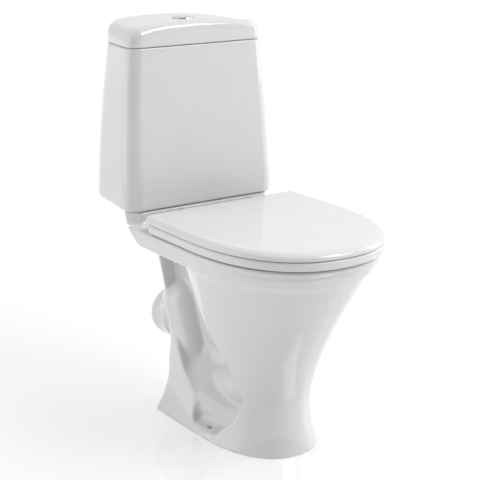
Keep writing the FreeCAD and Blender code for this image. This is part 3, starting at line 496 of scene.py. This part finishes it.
def cistern_plan(share, inset=0.0):
    """Outline at a share of the height: it narrows upwards, and towards the wall."""
    front = mix(CISTERN_LOW.y, CISTERN_LOW.y + FRONT_LEAN, share)
    half = mix(CISTERN_HIGH.x, CISTERN_HIGH.x - SIDE_LEAN, share ** 1.35)
    slope = 0.075 + 0.09 * share ** 2.2       # how much each side draws in towards the wall
    front_round = max(mix(*FRONT_ROUND, share) - inset, LEAST_ROUND)
    back_round = max(mix(*BACK_ROUND, share) - inset, LEAST_ROUND)
    rear_half = half - slope * (BACK - front) - inset * (1 - slope)
    front, rear, half = front + inset, BACK - inset, half - inset
    corners = [(-half, front, front_round), (half, front, front_round),
               (rear_half, rear, back_round), (-rear_half, rear, back_round)]
    arcs = []
    for i, (*place, radius) in enumerate(corners):
        here = np.array(place)
        before = np.array(corners[i - 1][:2]) - here
        after = np.array(corners[(i + 1) % 4][:2]) - here
        before, after = before / np.hypot(*before), after / np.hypot(*after)
        half_angle = math.acos(before @ after) / 2
        centre = here + (before + after) / np.hypot(*(before + after)) * (
            radius / math.sin(half_angle))
        start = here + before * radius / math.tan(half_angle) - centre
        end = here + after * radius / math.tan(half_angle) - centre
        turn = math.atan2(start[0] * end[1] - start[1] * end[0], start @ end)
        turns = [turn * step / CORNER_STEPS for step in range(CORNER_STEPS + 1)]
        arcs.append([centre + (start[0] * math.cos(a) - start[1] * math.sin(a),
                               start[0] * math.sin(a) + start[1] * math.cos(a)) for a in turns])
    points = []
    for arc, following in zip(arcs, arcs[1:] + arcs[:1]):
        step = following[0] - arc[-1]
        points += arc + [arc[-1] + step * k / EDGE_STEPS for k in range(1, EDGE_STEPS)]
    return np.array(points)


def make_cistern():
    """A hollow tank: rounded base, outer wall, grooved top edge, then the inside and its holes."""
    height = JOINT - CISTERN_LOW.z
    rings = []
    base = cistern_plan(0)
    rearwards = smooth((base[:, 1] - CISTERN_LOW.y - 20) / 90)
    edge = mix(BASE_ROUND_FRONT, BASE_ROUND_REAR, rearwards)
    for risen, left in quarter_turn(6):
        rings.append(at_height(moved_in(base, edge * left), CISTERN_LOW.z + edge * risen))
    for share in np.linspace(0.06, 0.985, 26):
        rings.append(at_height(cistern_plan(share), CISTERN_LOW.z + height * share))
    for risen, left in quarter_turn(4):
        rings.append(at_height(cistern_plan(1, GROOVE_EDGE * risen),
                               JOINT - GROOVE_GAP - GROOVE_EDGE * left))
    rings.append(at_height(cistern_plan(1, GROOVE_DEPTH), JOINT - GROOVE_GAP))
    rings.append(at_height(cistern_plan(1, GROOVE_DEPTH), JOINT))
    rings.append(at_height(cistern_plan(1, CISTERN_WALL - 1), JOINT))
    for share in np.linspace(0.995, 0.08, 12):
        rings.append(at_height(cistern_plan(share, CISTERN_WALL), CISTERN_LOW.z + height * share))
    for risen, left in quarter_turn(4)[1:]:
        rings.append(at_height(cistern_plan(0.04, CISTERN_WALL + CISTERN_INNER_ROUND * risen),
                               CISTERN_FLOOR + CISTERN_INNER_ROUND * left))
    thing = sweep("cistern_china", rings)
    holes = [(0, VALVE_Y, VALVE_HOLE), (BOLT_X, VALVE_Y, BOLT_HOLE),
             (-BOLT_X, VALVE_Y, BOLT_HOLE), (FILLER_X, FILLER_Y, FILLER_HOLE)]
    bore(thing, [(x, y, CISTERN_FLOOR + 6, radius, 30) for x, y, radius in holes])
    return soften(thing)


def arch(x, crown):
    """Height of the lid's arch across the cistern."""
    return crown - CROWN_RADIUS + np.sqrt(CROWN_RADIUS ** 2 - np.asarray(x) ** 2)


def make_cistern_lid():
    """An arched cover: outer wall, rounded edge, crown, then the hollow inside it."""
    rings = [at_height(cistern_plan(1, GROOVE_DEPTH), JOINT),
             at_height(cistern_plan(1, GROOVE_DEPTH), JOINT + GROOVE_GAP)]
    start = JOINT + GROOVE_GAP + GROOVE_EDGE
    for risen, left in quarter_turn(4):
        rings.append(at_height(cistern_plan(1, GROOVE_EDGE * left),
                               JOINT + GROOVE_GAP + GROOVE_EDGE * risen))
    outline = cistern_plan(1)
    edge = mix(LID_ROUND_MIDDLE, LID_ROUND_ENDS, smooth((np.abs(outline[:, 0]) - 100) / 50))
    for share in (0.25, 0.5, 0.75):
        plan = cistern_plan(1, 0.6 * share)
        rings.append(at_height(plan, mix(start, arch(plan[:, 0], CROWN) - edge, share)))
    for risen, left in quarter_turn(8):
        plan = moved_in(outline, 0.8 + edge * risen)
        rings.append(at_height(plan, arch(plan[:, 0], CROWN) - edge * left))
    middle = np.array([0.0, VALVE_Y])
    last = moved_in(outline, 1.5 + edge)
    for share in np.linspace(0.06, 0.92, 12):
        plan = mix(last, middle, share)
        rings.append(at_height(plan, arch(plan[:, 0], CROWN)))
    inside = CROWN - LID_WALL
    for share in np.linspace(0.92, 0.0, 6):
        plan = mix(cistern_plan(1, LID_WALL + LID_INNER_ROUND), middle, share)
        rings.append(at_height(plan, arch(plan[:, 0], inside)))
    for fallen, left in quarter_turn(4)[1:]:
        plan = cistern_plan(1, LID_WALL + LID_INNER_ROUND * left)
        rings.append(at_height(plan, arch(plan[:, 0], inside) - LID_INNER_ROUND * fallen))
    rings.append(at_height(cistern_plan(1, LID_WALL), JOINT + 1))
    shell = sweep("lid_shell", rings, ends="tube")
    # the lip that drops into the tank, as (inset, height) from the joint
    lip = [(10, 1), (10, 8), (19, 8), (19, -9), (16.5, -12), (13, -10.5), (13, 1)]
    band = sweep("lid_lip", [at_height(cistern_plan(1, inset), JOINT + z) for inset, z in lip],
                 ends="tube")
    return shell, band


# ------------------------------------------------------------------ seat ring and lid
SEAT_HALF, SEAT_FRONT = RING_HIGH.x, RING_LOW.y
RING_BACK, LID_BACK = 72.0, 81.0
OPENING_HALF, OPENING_FRONT, OPENING_BACK = 108.0, -250.0, 22.0
RING_BASE, RING_TOP, RING_DISH = 404.0, 420.0, 2.4
RING_LOW_ROUND, RING_HIGH_ROUND, OPENING_ROUND = 3.0, 5.0, 8.0
COVER_BASE, COVER_TOP, COVER_CROWN = 421.0, 438.0, 1.6
COVER_SKIN, COVER_RIM_ROUND = 4.5, 1.2
SOFT_EDGE_SIDE, SOFT_EDGE_FRONT = (13.0, 10.0), (27.0, 12.5)    # width and drop of the cover's edge
KNUCKLE_RADIUS, PIN_BORE = 8.5, 4.06
EYE_WIDTH, EYE_BEVEL, EYE_SIDE = 12.0, 1.0, 11.0    # EYE_SIDE: from the hinge post's middle
SEAT_TAPER, CORNER_START = 1.5, math.radians(9)


def seat_plan(back, inset=0.0, corner=14.0):
    """The seat's outline: superellipse front, nearly straight sides, rounded rear corners.
    inset may change round the outline, by how far forward a point is."""
    steps = 44
    angles = np.linspace(0, math.pi, steps + 1)
    reach = SIDE_LINE - SEAT_FRONT
    across = np.cos(angles)
    x = -SEAT_HALF * np.sign(across) * np.abs(across) ** (2 / SEAT_POWER)
    y = SIDE_LINE - reach * np.sin(angles) ** (2 / SEAT_POWER)
    front = np.column_stack([x, y])[1:-1]
    rear_half = SEAT_HALF - SEAT_TAPER
    corner_y = back - corner
    side_y = np.linspace(SIDE_LINE + 6, corner_y, 9)
    side = np.column_stack([mix(SEAT_HALF, rear_half, (side_y - SIDE_LINE) / (back - SIDE_LINE)),
                            side_y])
    bend = [(rear_half - corner + corner * math.cos(a), corner_y + corner * math.sin(a))
            for a in np.linspace(CORNER_START, math.pi / 2, 10)]
    rear_x = np.linspace(rear_half - corner, 0, 9)[1:]
    rear = np.column_stack([rear_x, np.full(len(rear_x), back)])
    right = np.concatenate([side, np.array(bend), rear])
    left = right[::-1][1:] * (-1, 1)
    outline = np.concatenate([front, [[SEAT_HALF, SIDE_LINE]], right, left,
                              [[-SEAT_HALF, SIDE_LINE]]])
    return moved_in(outline, inset)


def forwardness(outline):
    """0 along the sides and rear, 1 at the very front."""
    share = np.clip((SIDE_LINE - outline[:, 1]) / (SIDE_LINE - SEAT_FRONT), 0, 1)
    return share ** 1.5


def opening_plan(outline, grow=0.0):
    """Points of the ring's opening, one for each point of the outline."""
    middle = (OPENING_FRONT + OPENING_BACK) / 2
    length = (OPENING_BACK - OPENING_FRONT) / 2
    angle = np.arctan2((outline[:, 1] - middle) / 1.35, outline[:, 0])
    return np.column_stack([(OPENING_HALF + grow) * np.cos(angle),
                            middle + (length + grow) * np.sin(angle)])


def make_seat_ring():
    """A closed band: rounded outside, a top that dishes inwards, and a round opening."""
    outline = seat_plan(RING_BACK)
    rings = []
    for risen, left in quarter_turn(3):
        rings.append(at_height(seat_plan(RING_BACK, RING_LOW_ROUND * left),
                               RING_BASE + RING_LOW_ROUND * risen))
    for gone, left in quarter_turn(6):
        rings.append(at_height(seat_plan(RING_BACK, RING_HIGH_ROUND * gone),
                               RING_TOP - RING_HIGH_ROUND * left))
    outer = seat_plan(RING_BACK, RING_HIGH_ROUND + 1)
    inner = opening_plan(outline, OPENING_ROUND)
    for share in (0.15, 0.32, 0.5, 0.68, 0.85, 1.0):
        rings.append(at_height(mix(outer, inner, share), RING_TOP - RING_DISH * share ** 2))
    for a in (math.pi * k / 8 for k in range(1, 8)):
        rings.append(at_height(opening_plan(outline, OPENING_ROUND * (1 - math.sin(a))),
                               mix(RING_TOP - RING_DISH, RING_BASE, (1 - math.cos(a)) / 2)))
    rings.append(at_height(opening_plan(outline, OPENING_ROUND + 1), RING_BASE))
    return sweep("ring_slab", rings, ends="tube")


def make_seat_lid():
    """A shell that starts under its own middle, turns round its rim and ends on top."""
    outline = seat_plan(LID_BACK)
    ahead = forwardness(outline)
    width, drop = (mix(side, front, ahead) for side, front in zip(SOFT_EDGE_SIDE, SOFT_EDGE_FRONT))
    spine = np.column_stack([np.zeros(len(outline)), np.clip(outline[:, 1], -150, 20)])
    under = COVER_TOP - COVER_SKIN
    rings = []
    for share in (1.0, 0.7, 0.4, 0.15, 0.0):
        rings.append(at_height(mix(seat_plan(LID_BACK, width + 4), spine, share),
                               under - COVER_CROWN * (1 - share) ** 2))
    for gone, left in quarter_turn(5)[1:]:
        rings.append(at_height(seat_plan(LID_BACK, mix(width + 2, COVER_SKIN, 1 - left)),
                               under - COVER_CROWN - (drop - 3) * gone))
    rings.append(at_height(seat_plan(LID_BACK, COVER_SKIN - 0.4), COVER_BASE + 0.6))
    rings.append(at_height(seat_plan(LID_BACK, COVER_SKIN - COVER_RIM_ROUND), COVER_BASE))
    for risen, left in quarter_turn(2):
        rings.append(at_height(seat_plan(LID_BACK, COVER_RIM_ROUND * left),
                               COVER_BASE + COVER_RIM_ROUND * risen))
    for gone, left in quarter_turn(10):
        rings.append(at_height(seat_plan(LID_BACK, width * gone),
                               COVER_TOP - COVER_CROWN - drop * left))
    last = seat_plan(LID_BACK, width)
    for share in (0.1, 0.22, 0.36, 0.52, 0.7, 0.88, 1.0):
        rings.append(at_height(mix(last, spine, share),
                               COVER_TOP - COVER_CROWN * (1 - share) ** 2))
    return sweep("lid_slab", rings, ends="pinched")


def make_eye(low_x, slab_y, slab_low, slab_high):
    """A hinge eye round the pin, drawn out forwards into the arm that carries it."""
    steps = 40
    angles = np.linspace(0, 2 * math.pi, steps, endpoint=False)
    outer = []
    for a in angles:
        y, z = HINGE_Y + KNUCKLE_RADIUS * math.cos(a), HINGE_Z + KNUCKLE_RADIUS * math.sin(a)
        if math.cos(a) < -0.25:
            y = slab_y
            z = min(max(HINGE_Z + 14 * math.sin(a), slab_low), slab_high)
        outer.append((y, z))
    outer = np.array(outer)
    inner = np.column_stack([HINGE_Y + PIN_BORE * np.cos(angles),
                             HINGE_Z + PIN_BORE * np.sin(angles)])
    centre = np.array([HINGE_Y, HINGE_Z])
    face = mix(outer, centre, 0.12)
    rings = []
    for across, plan in ((0.0, inner), (0.0, face), (EYE_BEVEL, outer),
                         (EYE_WIDTH - EYE_BEVEL, outer), (EYE_WIDTH, face), (EYE_WIDTH, inner)):
        rings.append(np.column_stack([np.full(steps, low_x + across), plan]))
    return sweep("eye", rings, ends="tube")


def mirrored(thing, name):
    """The same piece on the other side of the middle plane."""
    twin = bpy.data.objects.new(name, thing.data.copy())
    bpy.context.scene.collection.objects.link(twin)
    for vertex in twin.data.vertices:
        vertex.co.x = -vertex.co.x
    twin.data.flip_normals()
    return twin


# ------------------------------------------------------------------ flush button
BUTTON_RADIUS, BUTTON_SPLIT, BUTTON_GAP = 17.2, 5.0, 0.8
BUTTON_TOP = 780.2
# a button's side and dished top from below, as (inset, drop), and the surround's section, as
# (radius past the button, height over the crown)
BUTTON_PROFILE = [(0, 8.5), (0, 2.2), (0.14, 1.5), (0.5, 0.7), (1.1, 0.2), (1.9, 0.0),
                  (3.2, 0.15), (6.0, 0.55)]
BEZEL_PROFILE = [(4.3, 0.2), (4.1, 1.0), (3.4, 1.8), (2.3, 2.2), (1.2, 2.0), (0.6, 1.4),
                 (0.4, 0.4), (0.4, -22.0), (-14.2, -22.0), (-14.2, -25.2), (1.5, -25.4),
                 (1.9, -24.6), (1.9, 0.2)]


def make_button(name, side):
    """One part of the split button: a dished, edge-rounded segment of a disc."""
    cut_x = BUTTON_SPLIT + side * BUTTON_GAP / 2
    cut_angle = math.acos(cut_x / BUTTON_RADIUS)
    if side < 0:
        arc = np.linspace(cut_angle, 2 * math.pi - cut_angle, 56)
    else:
        arc = np.linspace(-cut_angle, cut_angle, 30)
    outline = np.column_stack([np.cos(arc), np.sin(arc)]) * BUTTON_RADIUS
    line = np.linspace(outline[-1], outline[0], 16)[1:-1]
    outline = np.concatenate([outline, line])
    centre = outline.mean(0)
    rings = []
    for inset, drop in BUTTON_PROFILE:
        share = inset / BUTTON_RADIUS * 1.25
        plan = mix(outline, centre, share) + (0, VALVE_Y)
        rings.append(at_height(plan, BUTTON_TOP - drop))
    return soften(sweep(name, rings))


def make_bezel():
    """The fixed ring round the button, rolled over on to the lid, with its cup inside it."""
    angles = np.linspace(0, 2 * math.pi, 96, endpoint=False)
    circle = np.column_stack([np.cos(angles), np.sin(angles)])
    rings = [at_height(circle * (BUTTON_RADIUS + past) + (0, VALVE_Y), CROWN + z)
             for past, z in BEZEL_PROFILE]
    return soften(sweep("button_surround", rings, ends="tube"))


# ------------------------------------------------------------------ materials
def new_material(name, colour, roughness, **sockets):
    """A material and its shader, with any further socket values given by name."""
    material = bpy.data.materials.new(name)
    material.use_nodes = True
    shader = material.node_tree.nodes["Principled BSDF"]
    shader.inputs["Base Color"].default_value = (*colour, 1)
    shader.inputs["Roughness"].default_value = roughness
    for key, value in sockets.items():
        shader.inputs[key.replace("_", " ")].default_value = value
    return material, shader


MIX_TYPES = {"RGBA": "RGBA", "FLOAT": "VALUE"}      # a mix node's kind, and its sockets' type


class Nodes:
    """Small helper that adds and wires a material's nodes."""

    def __init__(self, material):
        self.tree = material.node_tree
        self.place = self.add("ShaderNodeTexCoord").outputs["Object"]

    def add(self, kind, **settings):
        item = self.tree.nodes.new(kind)
        for key, value in settings.items():
            setattr(item, key, value)
        return item

    def wire(self, start, end):
        self.tree.links.new(start, end)

    def noise(self, scale, detail=3.0, roughness=0.5, stretch=None):
        item = self.add("ShaderNodeTexNoise")
        item.inputs["Scale"].default_value = scale
        item.inputs["Detail"].default_value = detail
        item.inputs["Roughness"].default_value = roughness
        source = self.place
        if stretch:
            mapping = self.add("ShaderNodeMapping")
            mapping.inputs["Scale"].default_value = stretch
            self.wire(source, mapping.inputs["Vector"])
            source = mapping.outputs["Vector"]
        self.wire(source, item.inputs["Vector"])
        return item.outputs["Fac"]

    def ramp(self, source, low, high, start=0.3, end=0.7):
        """Maps a pattern on to a range of values."""
        item = self.add("ShaderNodeMapRange")
        for key, value in (("From Min", start), ("From Max", end), ("To Min", low),
                           ("To Max", high)):
            item.inputs[key].default_value = value
        self.wire(source, item.inputs["Value"])
        return item.outputs["Result"]

    def mixed(self, kind, share, low, high):
        """Mixes two colours or two numbers, each given as a value or as another node's output."""
        item = self.add("ShaderNodeMix", data_type=kind)
        ends = [socket for socket in item.inputs if socket.type == MIX_TYPES[kind]][-2:]
        for socket, end in zip(ends, (low, high)):
            if isinstance(end, bpy.types.NodeSocket):
                self.wire(end, socket)
            else:
                socket.default_value = end
        self.wire(share, item.inputs[0])
        return [socket for socket in item.outputs if socket.type == MIX_TYPES[kind]][0]

    def tint(self, source, low, high):
        """Mixes two colours by a pattern."""
        return self.mixed("RGBA", source, (*low, 1), (*high, 1))

    def bump(self, source, distance, strength, shader):
        item = self.add("ShaderNodeBump")
        item.inputs["Distance"].default_value = distance
        item.inputs["Strength"].default_value = strength
        self.wire(source, item.inputs["Height"])
        self.wire(item.outputs["Normal"], shader.inputs["Normal"])


CLAY_ROUGHNESS = 0.75


def china_material():
    """White fired glaze: a soft ripple, faint clouding, and bare clay where no glaze runs."""
    material, shader = new_material("china", (0.73, 0.73, 0.727), 0.08, IOR=1.55,
                                    Coat_Weight=0.35, Coat_Roughness=0.03)
    nodes = Nodes(material)
    cloud = nodes.noise(9, 4)
    glaze = nodes.tint(nodes.ramp(cloud, 0, 1), (0.72, 0.72, 0.717), (0.742, 0.742, 0.738))
    clay = nodes.tint(nodes.ramp(nodes.noise(260, 6), 0, 1), (0.70, 0.66, 0.59),
                      (0.80, 0.77, 0.71))
    bare = nodes.add("ShaderNodeAttribute", attribute_name="bare_clay").outputs["Fac"]
    nodes.wire(nodes.mixed("RGBA", bare, glaze, clay), shader.inputs["Base Color"])
    polish = nodes.ramp(nodes.noise(35, 5), 0.05, 0.11)
    nodes.wire(nodes.mixed("FLOAT", bare, polish, CLAY_ROUGHNESS), shader.inputs["Roughness"])
    nodes.bump(nodes.noise(55, 2), 0.0006, 0.12, shader)
    return material


def seat_material():
    """Polished duroplast, a little softer in its shine than the glaze."""
    material, shader = new_material("seat", (0.76, 0.76, 0.757), 0.12, IOR=1.5,
                                    Coat_Weight=0.2, Coat_Roughness=0.06)
    nodes = Nodes(material)
    colour = nodes.tint(nodes.ramp(nodes.noise(14, 3), 0, 1), (0.75, 0.75, 0.747),
                        (0.77, 0.77, 0.766))
    nodes.wire(colour, shader.inputs["Base Color"])
    nodes.wire(nodes.ramp(nodes.noise(60, 6), 0.09, 0.16), shader.inputs["Roughness"])
    nodes.bump(nodes.noise(420, 3), 0.0001, 0.08, shader)
    return material


def metal_material(name, colour, low, high, stretch=None):
    """Bare metal with a roughness between two values; a stretch makes its pattern brushed."""
    material, shader = new_material(name, colour, low, Metallic=1.0)
    nodes = Nodes(material)
    pattern = nodes.noise(420 if stretch else 180, 5, stretch=stretch)
    nodes.wire(nodes.ramp(pattern, low, high), shader.inputs["Roughness"])
    darker = tuple(0.93 * c for c in colour)
    nodes.wire(nodes.tint(nodes.ramp(pattern, 0, 1), darker, colour), shader.inputs["Base Color"])
    nodes.bump(pattern, 0.00005, 0.1 if stretch else 0.03, shader)
    return material


def moulded_material(name, colour, roughness, grain=700, **sockets):
    """Plastic or rubber straight from the mould: fine grain and slightly uneven gloss."""
    material, shader = new_material(name, colour, roughness, **sockets)
    nodes = Nodes(material)
    cloud = nodes.noise(40, 4)
    shade = tuple(0.9 * c for c in colour)
    nodes.wire(nodes.tint(nodes.ramp(cloud, 0, 1), shade, colour), shader.inputs["Base Color"])
    nodes.wire(nodes.ramp(cloud, roughness - 0.06, roughness + 0.06), shader.inputs["Roughness"])
    nodes.bump(nodes.noise(grain, 4), 0.0001, 0.3, shader)
    return material


looks = {
    "china": china_material(),
    "seat": seat_material(),
    "chrome": metal_material("chrome", (0.72, 0.73, 0.74), 0.04, 0.12),
    "steel": metal_material("steel", (0.56, 0.57, 0.58), 0.22, 0.38, stretch=(1, 1, 0.06)),
    "black_rubber": moulded_material("black_rubber", (0.035, 0.035, 0.038), 0.62, 500),
    "clear_rubber": moulded_material("clear_rubber", (0.74, 0.74, 0.72), 0.4, 300,
                                     Subsurface_Weight=0.3, Subsurface_Scale=0.004),
    "white_plastic": moulded_material("white_plastic", (0.80, 0.81, 0.82), 0.42),
    "blue_plastic": moulded_material("blue_plastic", (0.08, 0.22, 0.45), 0.40),
}


def dress(thing, slot):
    """Gives a piece the look of its material slot."""
    thing.data.materials.clear()
    thing.data.materials.append(looks[slot])
    return thing


def stand_in(thing, body, node, slot):
    """Puts a finished piece on its body in place of a CAD node."""
    dress(thing, slot)
    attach(thing, body)
    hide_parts(node)
    return thing


# ------------------------------------------------------------------ build every piece
for part in frame["record"]["subparts"]:
    dress(frame["nodes"][part["node"]], part["material_slot"])

cell = 3.0
pan_piece, pan_points = surface_of("pan_china", pan, PAN_LOW, PAN_HIGH, cell)
# the glaze ends inside the pedestal, and just above the floor
inside = common(underside(*pan_points.T), pan_points[:, 2] - HOLLOW_TOP + 1, 1)
foot_edge = 1.5 - pan_points[:, 2]
bare_clay = np.clip(0.5 + np.maximum((1.5 - inside) / 3, foot_edge / 1.5), 0, 1)
bare = pan_piece.data.attributes.new("bare_clay", "FLOAT", "POINT")
bare.data.foreach_set("value", bare_clay.astype(np.float32))
stand_in(pan_piece, "pan_and_cistern", "pan", "china")

stand_in(make_cistern(), "pan_and_cistern", "cistern", "china")

shell, band = make_cistern_lid()
bore(shell, [(0, VALVE_Y, CROWN + 20, BUTTON_RADIUS + 2.4, 60)])
tank_cover = soften(joined_piece("cistern_cover", shell, band))
stand_in(tank_cover, "tank_lid", "cistern_lid", "china")

# the ring's eyes are outside the hinge posts, the lid's eyes are between them
slab = make_seat_ring()
eye = make_eye(HINGE_X + EYE_SIDE, RING_BACK - 6, 411, RING_TOP - 0.5)
ring_piece = soften(joined_piece("seat_ring_moulding", slab, mirrored(eye, "eye_left"), eye))
stand_in(ring_piece, "ring", "seat_ring", "seat")

slab = make_seat_lid()
eye = make_eye(HINGE_X - EYE_SIDE - EYE_WIDTH, LID_BACK - 3.5, HINGE_Z, 427.5)
lid_piece = soften(joined_piece("seat_lid_moulding", slab, mirrored(eye, "eye_left"), eye))
stand_in(lid_piece, "cover", "seat_lid", "seat")

stand_in(make_button("full_flush_button", -1), "full_button", "button_full", "chrome")
stand_in(make_button("half_flush_button", 1), "half_button", "button_half", "chrome")
stand_in(make_bezel(), "tank_lid", "button_bezel", "chrome")

# ------------------------------------------------------------------ floor, light and camera
FLOOR_SIZE, GREY, WHITE = 60, (0.50, 0.50, 0.50), (1, 1, 1, 1)
AIM = (0, 0, 0.4)
DIM_SIDE, BRIGHT, DIM = (-0.30, -0.94, -0.05), 0.85, 0.08    # the surroundings darken in front
CAMERA_PLACE, CAMERA_AZIMUTH, CAMERA_ELEVATION = (-1.30767, -1.85561, 1.02798), -34.97, 15.99
SENSOR_WIDTH, LENS = 36, 93.38

bpy.ops.mesh.primitive_plane_add(size=FLOOR_SIZE, location=(0, 0, 0))
floor = bpy.context.object
floor.name = "floor"
floor_look = new_material("floor", GREY, 0.05, IOR=1.9, Emission_Color=WHITE,
                          Emission_Strength=0.42)[0]
floor.data.materials.append(floor_look)


def softbox(name, place, width, height, power):
    """A rectangular lamp in metres and watts, turned towards the object."""
    lamp = bpy.data.lights.new(name, "AREA")
    lamp.shape = "RECTANGLE"
    lamp.size, lamp.size_y, lamp.energy = width, height, power
    thing = bpy.data.objects.new(name, lamp)
    thing.location = place
    thing.rotation_mode = "QUATERNION"
    thing.rotation_quaternion = (Vector(AIM) - Vector(place)).to_track_quat("-Z", "Y")
    bpy.context.scene.collection.objects.link(thing)


softbox("left_light", (-2.4, 1.2, 1.0), 2.0, 2.0, 12)
softbox("right_light", (2.4, -0.6, 1.4), 1.2, 2.0, 14)
softbox("front_light", (1.3, -2.1, 3.0), 1.6, 1.6, 60)

world = bpy.data.worlds.new("studio")
world.use_nodes = True
tree = world.node_tree
tree.nodes["Background"].inputs["Color"].default_value = WHITE
direction = tree.nodes.new("ShaderNodeTexCoord").outputs["Generated"]
facing = tree.nodes.new("ShaderNodeVectorMath")
facing.operation = "DOT_PRODUCT"
facing.inputs[1].default_value = Vector(DIM_SIDE).normalized()
fall = tree.nodes.new("ShaderNodeMapRange")
fall.interpolation_type = "SMOOTHSTEP"
for key, value in (("From Min", 0.0), ("From Max", 0.95), ("To Min", BRIGHT), ("To Max", DIM)):
    fall.inputs[key].default_value = value
tree.links.new(direction, facing.inputs[0])
tree.links.new(facing.outputs["Value"], fall.inputs["Value"])
tree.links.new(fall.outputs["Result"], tree.nodes["Background"].inputs["Strength"])
bpy.context.scene.world = world
bpy.context.scene.view_settings.view_transform = "Standard"

camera_data = bpy.data.cameras.new("camera")
camera_data.sensor_width, camera_data.lens = SENSOR_WIDTH, LENS
camera = bpy.data.objects.new("camera", camera_data)
azimuth, elevation = math.radians(CAMERA_AZIMUTH), math.radians(CAMERA_ELEVATION)
towards_camera = Vector((math.sin(azimuth) * math.cos(elevation),
                         -math.cos(azimuth) * math.cos(elevation), math.sin(elevation)))
camera.location = CAMERA_PLACE
camera.rotation_mode = "QUATERNION"
camera.rotation_quaternion = (-towards_camera).to_track_quat("-Z", "Y")
bpy.context.scene.collection.objects.link(camera)
bpy.context.scene.camera = camera
